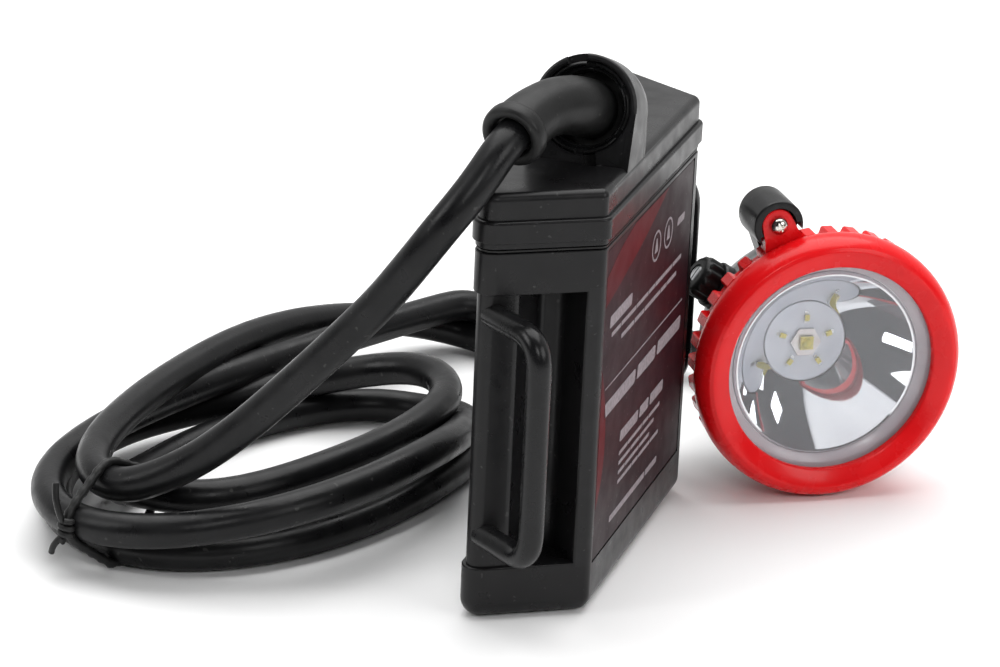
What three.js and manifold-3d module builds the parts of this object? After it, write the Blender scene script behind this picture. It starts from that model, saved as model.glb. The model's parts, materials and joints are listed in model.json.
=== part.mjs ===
// Miner's cap lamp: a belt battery in a tapered case, a rubber cord wound into an oval coil,
// and an LED headpiece with a red screw ring. Millimetres, +Z up. The origin is on the battery's
// flat bottom, on its mid-plane, 13.5 behind its front face. +X runs along the battery's width
// and +Y points to the wearer's side.
import * as THREE from "three";
import { mergeVertices } from "three/addons/utils/BufferGeometryUtils.js";
import Module from "manifold-3d";

const wasm = await Module();
wasm.setup();

// ---------------------------------------------------------------- driving dimensions

const GAP = 0.3; // between pieces that touch

// Battery case: a trapezoid in plan, wider on the wearer's side.
const CASE_FRONT_WIDTH = 84;
const CASE_BACK_WIDTH = 120.5;
const CASE_FRONT = -13.5;
const CASE_BACK = 15.5;
const FRONT_CORNER_RADIUS = 2.5;
const BACK_CORNER_RADIUS = 4.5;
const BOTTOM_EDGE_RADIUS = 4.5;
const WALL = 2.4;
const SHELL_TOP = 93.5;
const GASKET_THICKNESS = 0.4;
const LID_BOTTOM = SHELL_TOP + GASKET_THICKNESS + 2 * GAP;
const LID_TOP = 108;
const BAND_BOTTOM = 96;
const BAND_TOP = 101.5;
const BAND_PROUD = 0.8;

// The waist between the base block and the shoulder, where a pocket opens in each side.
const WAIST_BOTTOM = 13.5;
const WAIST_TOP = 83;
const CAVITY_HALF_WIDTH = 33.4;

// Label plate, let into the front face.
const LABEL = { left: -40, right: 38.5, bottom: 12.5, top: 92.6, recess: 0.9, thickness: 0.5 };

// Belt loops: one bent rod beside each pocket. Places are for the right-hand side.
const LOOP_RADIUS = 3;
const LOOP_FOOT = new THREE.Vector2(53.4, 10.6);
const LOOP_BAR = new THREE.Vector2(66.6, -5.6);
const LOOP_BOTTOM = 21.5;
const LOOP_TOP = 77.6;
const LOOP_BEND = 8;

// Cells: two 18650 cells side by side.
const CELL_RADIUS = 9.2;
const CELL_LENGTH = 65;
const CELL_SPACING = 20;
const CELL_BOTTOM = 4.8;

// Cable hood on the lid: a round mouth that looks up and to the left.
const HOOD_TILT = THREE.MathUtils.degToRad(20);
const HOOD_MOUTH = new THREE.Vector3(-20, 0, 120.5);
const HOOD_RADIUS = 12.9;
const HOOD_BORE_RADIUS = 11.2;
const HOOD_BORE_DEPTH = 11;
const HOOD_STRAIGHT = 9;
const HOOD_LENGTH = 26;

// Cord: round rubber cable from the battery to the headpiece.
const CORD_RADIUS = 4.4;
const BOOT_RADIUS = 7.7;
const BOOT_COLLAR_RADIUS = 8.5;
const BOOT_PATH = [
  [-14.4, 0, 118.4], [-20, 0.4, 120.5], [-25.5, 2.4, 122.2], [-32, 5.2, 122.9],
  [-40.2, 7.8, 121.9], [-48.4, 9.4, 119.6],
];
const DROP_PATH = [
  [-48.9, 9.5, 119.45], [-50.7, 9.9, 118.9], [-53.8, 11.2, 116.2], [-57.2, 13.2, 111.9],
  [-61, 16, 107.1], [-63.6, 20.3, 100.8], [-64.2, 26.7, 91.4], [-63, 35, 80],
  [-61.3, 45.6, 67.6], [-59.8, 58, 54], [-58.9, 69.5, 42], [-58.4, 80.3, 32.3],
];
const TAIL_PATH = [
  [124.4, 48.5, 7.4], [126, 37, 5.2], [126.2, 24, 4.8], [124.8, 11, 7.3], [121.2, 0, 11.4],
  [116, -7.5, 15.6], [110, -12.7, 18.5], [104.1, -16.5, 19.9],
];

// Coil: an oval hank lying on the same surface as the battery.
const COIL_HEIGHT = 25.3;
const COIL_OUTER = [
  [-74, 101], [-67, 69], [-44, 48], [-20, 36.5], [8, 33], [40, 33.5], [80, 38], [106, 46],
  [120, 62], [122, 75], [104, 95], [70, 110], [38, 121], [20, 130], [0, 137], [-26, 138.5],
  [-57, 129],
];
const COIL_INNER = [
  [-45, 94.5], [-36, 75.5], [-20, 65], [0, 55.5], [18, 52.5], [32, 56], [43, 68], [42, 84],
  [30, 95], [12, 104], [-9, 108], [-28, 108],
];
const TIE = { outer: -74.6, inner: -41.9, y: 89, width: 4, thickness: 1.2 };

// Headpiece, in its own frame: +Z out of the lens, +Y up, origin at the ring's widest section.
const RING_CENTRE = new THREE.Vector3(54.8, -48.3, 35.85);
const RING_FRONT = new THREE.Vector3(-0.8403, -0.5421, 0).normalize();
const RING_RADIUS = 35.85;
const RING_BORE = 30.2;
const LENS_OPENING = 27.8;
const TEETH = 36;
const TOOTH_TIP_RADIUS = 35.2;
const TOOTH_ROOT_RADIUS = 33.2;
const NECK_RADIUS = RING_BORE - 0.4;
const REFLECTOR_RIM = 24;
const REFLECTOR_NECK = 11.4;
const BOARD_FRONT = -18.6;
const POST_ANGLE = THREE.MathUtils.degToRad(111.5);
const POST_DISTANCE = 40.6;
const POST_RADIUS = 6.6;
const POST_REAR = -17.5;
const EAR_FRONT = -4.2;
const EAR_REAR = -7.6;
const KNOB_ANGLE = THREE.MathUtils.degToRad(147);
const KNOB_DEPTH = -20;
const KNOB_RADIUS = 8;
const KNOB_BOTTOM = 31.8;
const KNOB_TOP = 39.4;
const GLAND_DROP = -13.5;
const REAR_FACE = -38.5;

const UP = new THREE.Vector3(0, 0, 1);

// ---------------------------------------------------------------- joining and cutting

// A closed geometry as a solid: shared corners merged and collapsed triangles dropped.
function toSolid(geometry) {
  const bare = geometry.clone();
  bare.deleteAttribute("normal");
  bare.deleteAttribute("uv");
  const merged = mergeVertices(bare, 1e-4);
  const corners = merged.index.array;
  const kept = [];
  for (let i = 0; i < corners.length; i += 3) {
    const [a, b, c] = corners.slice(i, i + 3);
    if (a !== b && b !== c && c !== a) kept.push(a, b, c);
  }
  return new wasm.Manifold(new wasm.Mesh({
    numProp: 3,
    vertProperties: new Float32Array(merged.attributes.position.array),
    triVerts: new Uint32Array(kept),
  }));
}

function toGeometry(solid) {
  const mesh = solid.getMesh();
  const geometry = new THREE.BufferGeometry();
  geometry.setAttribute("position", new THREE.BufferAttribute(mesh.vertProperties, 3));
  geometry.setIndex(new THREE.BufferAttribute(mesh.triVerts, 1));
  geometry.computeVertexNormals();
  return geometry;
}

const join = (...parts) => toGeometry(parts.map(toSolid).reduce((a, b) => a.add(b)));
const cut = (body, ...tools) => toGeometry(
  tools.map(toSolid).reduce((a, b) => a.subtract(b), toSolid(body)));
const overlap = (...parts) => toGeometry(parts.map(toSolid).reduce((a, b) => a.intersect(b)));

// ---------------------------------------------------------------- basic shapes

// A closed outline whose corners, given as [x, y, radius], are rounded by arcs.
function roundedOutline(corners, steps = 4) {
  const points = [];
  corners.forEach(([x, y, radius], i) => {
    const corner = new THREE.Vector2(x, y);
    if (!radius) {
      points.push(corner);
      return;
    }
    const [previousX, previousY] = corners[(i + corners.length - 1) % corners.length];
    const [nextX, nextY] = corners[(i + 1) % corners.length];
    const back = new THREE.Vector2(previousX - x, previousY - y).normalize();
    const ahead = new THREE.Vector2(nextX - x, nextY - y).normalize();
    const halfAngle = Math.acos(back.dot(ahead)) / 2;
    const middle = back.clone().add(ahead).normalize();
    const centre = corner.clone().addScaledVector(middle, radius / Math.sin(halfAngle));
    const start = back.multiplyScalar(radius / Math.tan(halfAngle)).add(corner).sub(centre);
    const sweep = (Math.PI - 2 * halfAngle) * Math.sign(start.cross(middle.negate()));
    for (let k = 0; k <= steps; k += 1) {
      const turn = (sweep * k) / steps;
      points.push(start.clone().rotateAround(new THREE.Vector2(), turn).add(centre));
    }
  });
  return points;
}

// An upright prism over an outline, with holes and a rounded rim if asked for.
function prism(outline, bottom, top, { holes = [], rim = 0 } = {}) {
  const shape = new THREE.Shape(outline);
  holes.forEach((hole) => shape.holes.push(new THREE.Path(hole)));
  return new THREE.ExtrudeGeometry(shape, {
    depth: top - bottom - 2 * rim,
    bevelEnabled: rim > 0,
    bevelThickness: rim,
    bevelSize: rim,
    bevelOffset: -rim,
    bevelSegments: 2,
  }).translate(0, 0, bottom + rim);
}

function circle(radius, sides, x = 0, y = 0) {
  return Array.from({ length: sides }, (_, i) => {
    const angle = (2 * Math.PI * i) / sides;
    return new THREE.Vector2(x + radius * Math.cos(angle), y + radius * Math.sin(angle));
  });
}

function block(x0, x1, y0, y1, z0, z1) {
  return new THREE.BoxGeometry(x1 - x0, y1 - y0, z1 - z0)
    .translate((x0 + x1) / 2, (y0 + y1) / 2, (z0 + z1) / 2);
}

// A round bar along Z between two heights.
function bar(radius, bottom, top, sides = 24, x = 0, y = 0) {
  return prism(circle(radius, sides, x, y), bottom, top);
}

// A solid of revolution about Z from [radius, height] pairs that run counter-clockwise.
function spin(profile, segments = 48, closed = false) {
  const points = profile.map(([radius, height]) => new THREE.Vector2(radius, height));
  if (closed) points.push(points[0].clone());
  return new THREE.LatheGeometry(points, segments).rotateX(Math.PI / 2);
}

// A ring of rectangular section about Z.
function ring(inner, outer, bottom, top, sides = 32) {
  return prism(circle(outer, sides), bottom, top, { holes: [circle(inner, sides)] });
}

// A round tube along a smooth curve through the given points.
function tube(points, radius, sides, steps) {
  const curve = new THREE.CatmullRomCurve3(points.map((point) => new THREE.Vector3(...point)));
  return new THREE.ExtrudeGeometry(new THREE.Shape(circle(radius, sides)), {
    extrudePath: curve,
    steps,
  });
}

// Places a geometry so that its +Z runs along `forward` and its +Y along `up`, at `origin`.
function place(geometry, origin, forward, up) {
  const right = new THREE.Vector3().crossVectors(up, forward);
  return geometry.applyMatrix4(
    new THREE.Matrix4().makeBasis(right, up, forward).setPosition(origin));
}

// ---------------------------------------------------------------- materials and nodes

const finishes = {
  blackPlastic: { color: 0x17171a, roughness: 0.42 },
  blackRubber: { color: 0x101012, roughness: 0.8 },
  cordRubber: { color: 0x141416, roughness: 0.7 },
  redPlastic: { color: 0xcc1414, roughness: 0.25 },
  label: { color: 0x2a171b, roughness: 0.3 },
  clearLens: { color: 0xf2f6f8, roughness: 0.05, transparent: true, opacity: 0.35 },
  paleSeal: { color: 0xc9c6cc, roughness: 0.5 },
  chrome: { color: 0xe8eaec, roughness: 0.06, metalness: 1 },
  steel: { color: 0xb9bbbd, roughness: 0.3, metalness: 1 },
  brass: { color: 0xb98a45, roughness: 0.35, metalness: 1 },
  aluminium: { color: 0xc8cacc, roughness: 0.4, metalness: 1 },
  whiteBoard: { color: 0xe4e6ee, roughness: 0.5 },
  ledPhosphor: { color: 0xe6d23c, roughness: 0.35 },
  greenBoard: { color: 0x1e5a34, roughness: 0.5 },
  cellWrap: { color: 0x2f6fa8, roughness: 0.35 },
};

const capLamp = new THREE.Group();
const headpiece = new THREE.Group();
headpiece.applyMatrix4(new THREE.Matrix4()
  .makeBasis(new THREE.Vector3().crossVectors(UP, RING_FRONT), UP, RING_FRONT)
  .setPosition(RING_CENTRE));
capLamp.add(headpiece);

function node(group, name, finish, geometry) {
  const mesh = new THREE.Mesh(geometry, new THREE.MeshStandardMaterial(finishes[finish]));
  mesh.name = name;
  group.add(mesh);
}

// ---------------------------------------------------------------- battery case

const sideSlope = (CASE_BACK_WIDTH - CASE_FRONT_WIDTH) / (2 * (CASE_BACK - CASE_FRONT));
const sideAngle = Math.atan(sideSlope);
const halfWidthAtOrigin = CASE_FRONT_WIDTH / 2 - sideSlope * CASE_FRONT;

// The case's plan outline, moved inwards by `inset`.
function caseOutline(inset) {
  const front = CASE_FRONT + inset;
  const back = CASE_BACK - inset;
  const halfWidth = (y) => halfWidthAtOrigin + sideSlope * y - inset / Math.cos(sideAngle);
  const frontRadius = Math.max(FRONT_CORNER_RADIUS - inset, 0.6);
  const backRadius = Math.max(BACK_CORNER_RADIUS - inset, 1.5);
  return roundedOutline([
    [-halfWidth(front), front, frontRadius], [halfWidth(front), front, frontRadius],
    [halfWidth(back), back, backRadius], [-halfWidth(back), back, backRadius],
  ]);
}

// The waist's outline: front columns, side pockets with slanted front walls, back columns.
function waistOutline() {
  const step = 1.1;
  const half = [
    [CASE_FRONT_WIDTH / 2, CASE_FRONT, FRONT_CORNER_RADIUS],
    [44.2, -10.05, 0.8],
    [36.4, -2.2, 3],
    [37.4, 3.6, 2],
    [52, 4.4, 2],
    [58.2, CASE_BACK - step, 3.2],
    [50, CASE_BACK - step, 0.4],
    [49, CASE_BACK, 0.4],
  ];
  const mirrored = half.map(([x, y, radius]) => [-x, y, radius]).reverse();
  return roundedOutline([...half, ...mirrored], 3);
}

// A large slab with a rounded lower edge, which trims one bottom edge of the case.
function bottomEdgeTrim(distance, angle) {
  const reach = 200;
  const section = roundedOutline([
    [-reach, 0, 0], [0, 0, BOTTOM_EDGE_RADIUS], [0, reach, 0], [-reach, reach, 0],
  ]);
  return prism(section, -reach, reach).rotateX(Math.PI / 2).translate(distance, 0, 0)
    .rotateZ(angle);
}

// The path of one belt loop; side is 1 for the right and -1 for the left.
function loopTube(side, radius) {
  const plan = (share, height) => {
    const point = LOOP_FOOT.clone().lerp(LOOP_BAR, share);
    return new THREE.Vector3(side * point.x, point.y, height);
  };
  const bendShare = 1 - LOOP_BEND / LOOP_FOOT.distanceTo(LOOP_BAR);
  const path = new THREE.CurvePath();
  path.add(new THREE.LineCurve3(plan(0, LOOP_TOP), plan(bendShare, LOOP_TOP)));
  path.add(new THREE.QuadraticBezierCurve3(
    plan(bendShare, LOOP_TOP), plan(1, LOOP_TOP), plan(1, LOOP_TOP - LOOP_BEND)));
  path.add(new THREE.LineCurve3(plan(1, LOOP_TOP - LOOP_BEND), plan(1, LOOP_BOTTOM + LOOP_BEND)));
  path.add(new THREE.QuadraticBezierCurve3(
    plan(1, LOOP_BOTTOM + LOOP_BEND), plan(1, LOOP_BOTTOM), plan(bendShare, LOOP_BOTTOM)));
  path.add(new THREE.LineCurve3(plan(bendShare, LOOP_BOTTOM), plan(0, LOOP_BOTTOM)));
  return new THREE.ExtrudeGeometry(new THREE.Shape(circle(radius, 10)), {
    extrudePath: path,
    steps: 30,
  });
}

function caseShell() {
  const base = overlap(
    prism(caseOutline(0), 0, WAIST_BOTTOM),
    bottomEdgeTrim(-CASE_FRONT, -Math.PI / 2),
    bottomEdgeTrim(CASE_BACK, Math.PI / 2),
    bottomEdgeTrim(halfWidthAtOrigin * Math.cos(sideAngle), -sideAngle),
    bottomEdgeTrim(halfWidthAtOrigin * Math.cos(sideAngle), Math.PI + sideAngle),
  );
  const outside = join(
    base,
    prism(waistOutline(), WAIST_BOTTOM - 1, WAIST_TOP + 1),
    prism(caseOutline(0), WAIST_TOP, SHELL_TOP),
  );
  const front = CASE_FRONT + WALL;
  const back = CASE_BACK - WALL;
  const cavity = prism(roundedOutline([
    [-CAVITY_HALF_WIDTH, front, 2], [CAVITY_HALF_WIDTH, front, 2],
    [CAVITY_HALF_WIDTH, back, 2], [-CAVITY_HALF_WIDTH, back, 2],
  ], 3), WALL, SHELL_TOP);
  return cut(
    outside,
    cavity,
    prism(caseOutline(WALL), WAIST_TOP + WALL, SHELL_TOP + 1),
    block(LABEL.left, LABEL.right, CASE_FRONT - 5, CASE_FRONT + LABEL.recess,
      LABEL.bottom, LABEL.top),
    loopTube(1, LOOP_RADIUS + GAP + 0.1),
    loopTube(-1, LOOP_RADIUS + GAP + 0.1),
  );
}

function labelPlate() {
  const floor = CASE_FRONT + LABEL.recess - GAP;
  return block(LABEL.left + GAP, LABEL.right - GAP, floor - LABEL.thickness, floor,
    LABEL.bottom + GAP, LABEL.top - GAP);
}

node(capLamp, "case_shell", "blackPlastic", caseShell());
node(capLamp, "label_plate", "label", labelPlate());
node(capLamp, "belt_loop_right", "blackPlastic", loopTube(1, LOOP_RADIUS));
node(capLamp, "belt_loop_left", "blackPlastic", loopTube(-1, LOOP_RADIUS));
node(capLamp, "lid_gasket", "blackRubber", prism(caseOutline(0.2), SHELL_TOP + GAP,
  SHELL_TOP + GAP + GASKET_THICKNESS, { holes: [caseOutline(WALL - 0.3)] }));

// ---------------------------------------------------------------- lid and cable hood

const hoodAxis = new THREE.Vector3(-Math.cos(HOOD_TILT), 0, Math.sin(HOOD_TILT));
const hoodUp = new THREE.Vector3(Math.sin(HOOD_TILT), 0, Math.cos(HOOD_TILT));
const inHood = (geometry) => place(geometry, HOOD_MOUTH, hoodAxis, hoodUp);

// The hood's radius at a depth behind its mouth.
function hoodRadius(depth) {
  const taper = Math.max(depth - HOOD_STRAIGHT, 0) / (HOOD_LENGTH - HOOD_STRAIGHT);
  return HOOD_RADIUS * Math.sqrt(1 - taper * taper);
}

function hood() {
  const depths = [26, 25, 22.5, 19, 15, HOOD_STRAIGHT];
  const dome = inHood(spin([
    ...depths.map((depth) => [hoodRadius(depth), -depth]),
    [HOOD_RADIUS, -0.6], [HOOD_RADIUS - 0.6, 0], [0, 0],
  ], 32));
  const nose = depths.toReversed().map((depth) => [
    HOOD_MOUTH.x + depth * Math.cos(HOOD_TILT), hoodRadius(depth)]);
  const foot = [[HOOD_MOUTH.x - 8, HOOD_RADIUS], ...nose].map(([x, y]) => new THREE.Vector2(x, y));
  const mirrored = foot.slice(0, -1).reverse().map((point) => new THREE.Vector2(point.x, -point.y));
  const skirt = overlap(
    prism([...foot, ...mirrored], LID_TOP - 3, HOOD_MOUTH.z + 8),
    inHood(block(-40, 40, -60, 0, -60, 0)),
  );
  return join(dome, skirt);
}

function lid() {
  const inset = 0.3;
  const outside = join(
    prism(caseOutline(0), LID_BOTTOM, BAND_BOTTOM + 1),
    prism(caseOutline(-BAND_PROUD), BAND_BOTTOM, BAND_TOP, { rim: 0.5 }),
    prism(caseOutline(inset), BAND_BOTTOM, LID_TOP, { rim: 1.8 }),
    hood(),
  );
  const wellX = HOOD_MOUTH.x + 12.8;
  return cut(
    outside,
    prism(caseOutline(WALL + inset), LID_BOTTOM - 1, LID_TOP - WALL),
    inHood(bar(HOOD_BORE_RADIUS, -HOOD_BORE_DEPTH, 1, 32)),
    inHood(bar(4.6, -15, -HOOD_BORE_DEPTH + 1, 16)),
    bar(4.6, LID_TOP - 8, LID_TOP + 8, 16, wellX, 0),
  );
}

// Slotted clamping nut in the hood's bore.
function glandNut() {
  const slots = 6;
  const cutters = Array.from({ length: slots }, (_, i) => block(8, 12, -1.3, 1.3, -4, 0)
    .rotateZ((2 * Math.PI * (i + 0.5)) / slots));
  return inHood(cut(ring(9.2, 10.9, -7.5, -2.5), ...cutters));
}

// The boot's moulding: a bent sleeve with a thicker collar where the cord leaves it.
function cableBoot() {
  const end = new THREE.Vector3(...BOOT_PATH.at(-1));
  const along = end.clone().sub(new THREE.Vector3(...BOOT_PATH.at(-2))).normalize();
  const side = new THREE.Vector3().crossVectors(UP, along).normalize();
  const up = new THREE.Vector3().crossVectors(along, side);
  const collar = place(bar(BOOT_COLLAR_RADIUS, -4.5, 0, 20), end, along, up);
  const sleeve = tube([...BOOT_PATH.slice(0, -1), end.clone().addScaledVector(along, -0.2)
    .toArray()], BOOT_RADIUS, 12, 14);
  return join(sleeve, collar);
}

const LID_SCREW_OFFSET = 38;
const BAND_MIDDLE = (BAND_BOTTOM + BAND_TOP) / 2;

function lidScrew(side) {
  const head = bar(2.6, 0, 1.6, 16);
  return join(head, bar(1.2, -1.9, 0.2, 10)).rotateX(-Math.PI / 2)
    .translate(side * LID_SCREW_OFFSET, CASE_BACK + BAND_PROUD + GAP, BAND_MIDDLE);
}

const screwHoles = [-1, 1].map((side) => bar(1.5, -6, 6, 10).rotateX(-Math.PI / 2)
  .translate(side * LID_SCREW_OFFSET, CASE_BACK, BAND_MIDDLE));

node(capLamp, "lid", "blackPlastic", cut(lid(), ...screwHoles));
node(capLamp, "lid_screw_left", "steel", lidScrew(-1));
node(capLamp, "lid_screw_right", "steel", lidScrew(1));
node(capLamp, "gland_nut", "blackPlastic", glandNut());
node(capLamp, "gland_seal", "blackRubber", inHood(ring(5, 10.8, -10.4, -7.8)));
node(capLamp, "cable_boot", "blackRubber", cableBoot());

// ---------------------------------------------------------------- battery contents

const cellX = [-CELL_SPACING / 2, CELL_SPACING / 2];

function cell(x) {
  return join(
    bar(CELL_RADIUS, CELL_BOTTOM, CELL_BOTTOM + CELL_LENGTH - 1.2, 24, x, 0),
    bar(3, CELL_BOTTOM + 5, CELL_BOTTOM + CELL_LENGTH, 16, x, 0),
  );
}

// Cradle: a back plate with a tray under the cells and a collar round their tops.
function cellCradle() {
  const body = join(
    block(-31, 31, 9, 10.7, 2.8, 76),
    block(-21.5, 21.5, -10.4, 10, 2.8, 9),
    block(-21.5, 21.5, -10.4, 10, 60, 66),
  );
  return cut(body, ...cellX.map((x) => bar(
    CELL_RADIUS + GAP, CELL_BOTTOM - GAP, CELL_BOTTOM + CELL_LENGTH + 1, 24, x, 0)));
}

cellX.forEach((x, i) => node(capLamp, `cell_${i + 1}`, "cellWrap", cell(x)));
node(capLamp, "cell_cradle", "blackPlastic", cellCradle());
node(capLamp, "protection_board", "greenBoard", block(25, 26.6, -8.6, 8.6, 8, 64));

// ---------------------------------------------------------------- cord

// A smooth closed outline through the given points.
function smoothOutline(points, sides) {
  const curve = new THREE.CatmullRomCurve3(points.map(([x, y]) => new THREE.Vector3(x, y, 0)), true);
  return curve.getPoints(sides).slice(0, -1).map((point) => new THREE.Vector2(point.x, point.y));
}

// The tie: a band over the coil's left end, open where the coil lies on the floor.
function coilTie() {
  const { outer, inner, y, width, thickness } = TIE;
  const top = COIL_HEIGHT + GAP;
  return prism([
    [outer - thickness, 0], [outer, 0], [outer, top], [inner, top], [inner, 0],
    [inner + thickness, 0], [inner + thickness, top + thickness], [outer - thickness, top + thickness],
  ].map(([x, z]) => new THREE.Vector2(x, z)), -width / 2, width / 2).rotateX(Math.PI / 2)
    .translate(0, y, 0);
}

node(capLamp, "cord_drop", "cordRubber", tube(DROP_PATH, CORD_RADIUS, 10, 18));
node(capLamp, "cord_coil", "cordRubber", prism(smoothOutline(COIL_OUTER, 48), 0,
  COIL_HEIGHT, { holes: [smoothOutline(COIL_INNER, 36)] }));
node(capLamp, "cord_tail", "cordRubber", tube(TAIL_PATH, CORD_RADIUS, 10, 12));
node(capLamp, "coil_tie", "blackRubber", coilTie());

// ---------------------------------------------------------------- headpiece: ring and optics

const postCentre = new THREE.Vector2(
  POST_DISTANCE * Math.cos(POST_ANGLE), POST_DISTANCE * Math.sin(POST_ANGLE));
const atPost = (geometry) => geometry.translate(postCentre.x, postCentre.y, 0);

// Toothed rear part of the screw ring, which gives the fingers a grip.
function toothedRing(rear, front) {
  const outline = [];
  for (let i = 0; i < TEETH; i += 1) {
    const pitch = (2 * Math.PI) / TEETH;
    [[-0.28, TOOTH_TIP_RADIUS], [0.2, TOOTH_TIP_RADIUS], [0.28, TOOTH_ROOT_RADIUS],
      [0.64, TOOTH_ROOT_RADIUS]].forEach(([share, radius]) => {
      const angle = (i + share) * pitch;
      outline.push(new THREE.Vector2(radius * Math.cos(angle), radius * Math.sin(angle)));
    });
  }
  return prism(outline, rear, front, { holes: [circle(RING_BORE, 48)] });
}

function bezelRing() {
  const face = spin([
    [RING_BORE, -5], [TOOTH_ROOT_RADIUS, -5], [TOOTH_ROOT_RADIUS, -4.2], [35.1, -3.6],
    [RING_RADIUS, -2.4], [RING_RADIUS, 0], [35.3, 2.2], [33.9, 3.9], [32.2, 4.5], [31, 4.2],
    [LENS_OPENING, 2.5], [LENS_OPENING, 1.1], [RING_BORE, 1.1],
  ], 48, true);
  const ear = cut(
    join(
      atPost(bar(4.3, EAR_REAR, EAR_FRONT, 20)),
      prism([[31.5, -6.4], [34.5, -5.6], [POST_DISTANCE, -4.2], [POST_DISTANCE, 4.2],
        [34.5, 5.6], [31.5, 6.4]].map(([x, y]) => new THREE.Vector2(x, y)),
      EAR_REAR, EAR_FRONT).rotateZ(POST_ANGLE),
    ),
    atPost(bar(1.75, EAR_REAR - 1, EAR_FRONT + 1, 12)),
  );
  return join(toothedRing(-10, -4.4), face, ear);
}

// The reflector's inner radius at a depth: a paraboloid between its rim and its neck.
const RIM_DEPTH = -1.9;
function bowlRadius(depth) {
  const share = (depth - BOARD_FRONT) / (RIM_DEPTH - BOARD_FRONT);
  return Math.sqrt(THREE.MathUtils.lerp(REFLECTOR_NECK ** 2, REFLECTOR_RIM ** 2, share));
}

function reflector() {
  const wall = 1;
  const depths = [RIM_DEPTH, -4, -7, -10.5, -14.5, BOARD_FRONT];
  const inside = depths.map((depth) => [bowlRadius(depth), depth]);
  const outside = depths.slice(2).reverse().map((depth) => [bowlRadius(depth) + wall, depth]);
  return spin([
    ...inside, ...outside, [bowlRadius(-4) + wall, -4], [NECK_RADIUS, -4], [NECK_RADIUS, -2.9],
    [REFLECTOR_RIM + wall, -2.9], [REFLECTOR_RIM + 0.4, RIM_DEPTH],
  ], 48, true);
}

node(headpiece, "bezel_ring", "redPlastic", bezelRing());
node(headpiece, "lens", "clearLens", bar(NECK_RADIUS, -0.9, 0.8, 48));
node(headpiece, "lens_gasket", "paleSeal", spin([
  [REFLECTOR_RIM + 1.4, -2.6], [NECK_RADIUS, -2.6], [NECK_RADIUS, -1.2], [LENS_OPENING, -1.2],
], 48, true));
node(headpiece, "reflector", "chrome", reflector());

// ---------------------------------------------------------------- headpiece: light source

const STAR_FRONT = BOARD_FRONT + 1;
const AUX_LEDS = 5;
const AUX_LED_CIRCLE = 6.7;

node(headpiece, "led_board", "whiteBoard", bar(REFLECTOR_NECK - GAP, BOARD_FRONT - 1.2,
  BOARD_FRONT, 32));
node(headpiece, "led_star", "aluminium", bar(4.2, BOARD_FRONT + GAP, STAR_FRONT, 6));
node(headpiece, "main_led", "ledPhosphor", join(
  block(-1.75, 1.75, -1.75, 1.75, STAR_FRONT + GAP, STAR_FRONT + 1),
  spin([[0, STAR_FRONT + 0.8], [1.5, STAR_FRONT + 0.8], [1.3, STAR_FRONT + 1.6],
    [0.8, STAR_FRONT + 2.1], [0, STAR_FRONT + 2.3]], 16),
));
for (let i = 0; i < AUX_LEDS; i += 1) {
  const angle = (2 * Math.PI * i) / AUX_LEDS + Math.PI / 2;
  node(headpiece, `aux_led_${i + 1}`, "ledPhosphor",
    block(-0.8, 0.8, -0.6, 0.6, BOARD_FRONT + GAP, BOARD_FRONT + 1).rotateZ(angle)
      .translate(AUX_LED_CIRCLE * Math.cos(angle), AUX_LED_CIRCLE * Math.sin(angle), 0));
}

// Heat sink behind the board: a hub with three discs.
const sinkTop = BOARD_FRONT - 1.2 - GAP;
node(headpiece, "heat_sink", "aluminium", spin([
  [0, sinkTop - 6.4], [12.4, sinkTop - 6.4], [12.4, sinkTop - 5.2], [6, sinkTop - 5.2],
  [6, sinkTop - 3.8], [12.4, sinkTop - 3.8], [12.4, sinkTop - 2.6], [6, sinkTop - 2.6],
  [6, sinkTop - 1.2], [12.4, sinkTop - 1.2], [12.4, sinkTop], [0, sinkTop],
], 24));
node(headpiece, "driver_board", "greenBoard", bar(14.5, -31.2, -29.8, 24));

// ---------------------------------------------------------------- headpiece: housing

const radialFrame = (geometry) => place(
  geometry,
  new THREE.Vector3(0, 0, KNOB_DEPTH),
  new THREE.Vector3(Math.cos(KNOB_ANGLE), Math.sin(KNOB_ANGLE), 0),
  new THREE.Vector3(0, 0, 1),
);

// Two screws hold the helmet hook on the rear face.
const HOOK_SCREW_HEIGHTS = [1.5, 10.5];
const hookHoles = HOOK_SCREW_HEIGHTS.map((height) => bar(1.5, -50, -30, 10, 0, height));

function housing() {
  const shell = spin([
    [0, REAR_FACE], [19, REAR_FACE], [22.5, -34.5], [26.6, -27], [28.8, -20], [30.6, -14],
    [31.4, -10.8], [NECK_RADIUS, -10.3], [NECK_RADIUS, -4.4], [NECK_RADIUS - WALL, -4.4],
    [NECK_RADIUS - WALL, -11], [26.2, -20], [24, -27], [20.2, -33.2], [17.5, REAR_FACE + WALL],
    [0, REAR_FACE + WALL],
  ]);
  const post = cut(
    join(
      atPost(prism(circle(POST_RADIUS, 24), POST_REAR, EAR_FRONT + 0.8)),
      block(27, POST_DISTANCE, -5.2, 5.2, POST_REAR, -11).rotateZ(POST_ANGLE),
    ),
    bar(RING_RADIUS + 0.4, -10.4, 0, 48),
  );
  const earSlot = block(30, POST_DISTANCE - 1, -5.6, 5.6, EAR_REAR - 0.4, 0).rotateZ(POST_ANGLE);
  const knobBoss = radialFrame(bar(8.6, 25.5, KNOB_BOTTOM - 0.4, 24));
  const glandBoss = bar(7.4, -40.8, -34, 24, 0, GLAND_DROP);
  return cut(
    join(shell, post, knobBoss, glandBoss),
    atPost(bar(4.75, EAR_REAR - 0.4, 0, 24)),
    earSlot,
    atPost(bar(3.3, POST_REAR + 1.4, EAR_REAR, 16)),
    radialFrame(bar(3.2, 15, KNOB_BOTTOM, 16)),
    bar(4.6, -42, -28, 16, 0, GLAND_DROP),
    ...hookHoles,
  );
}

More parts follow.
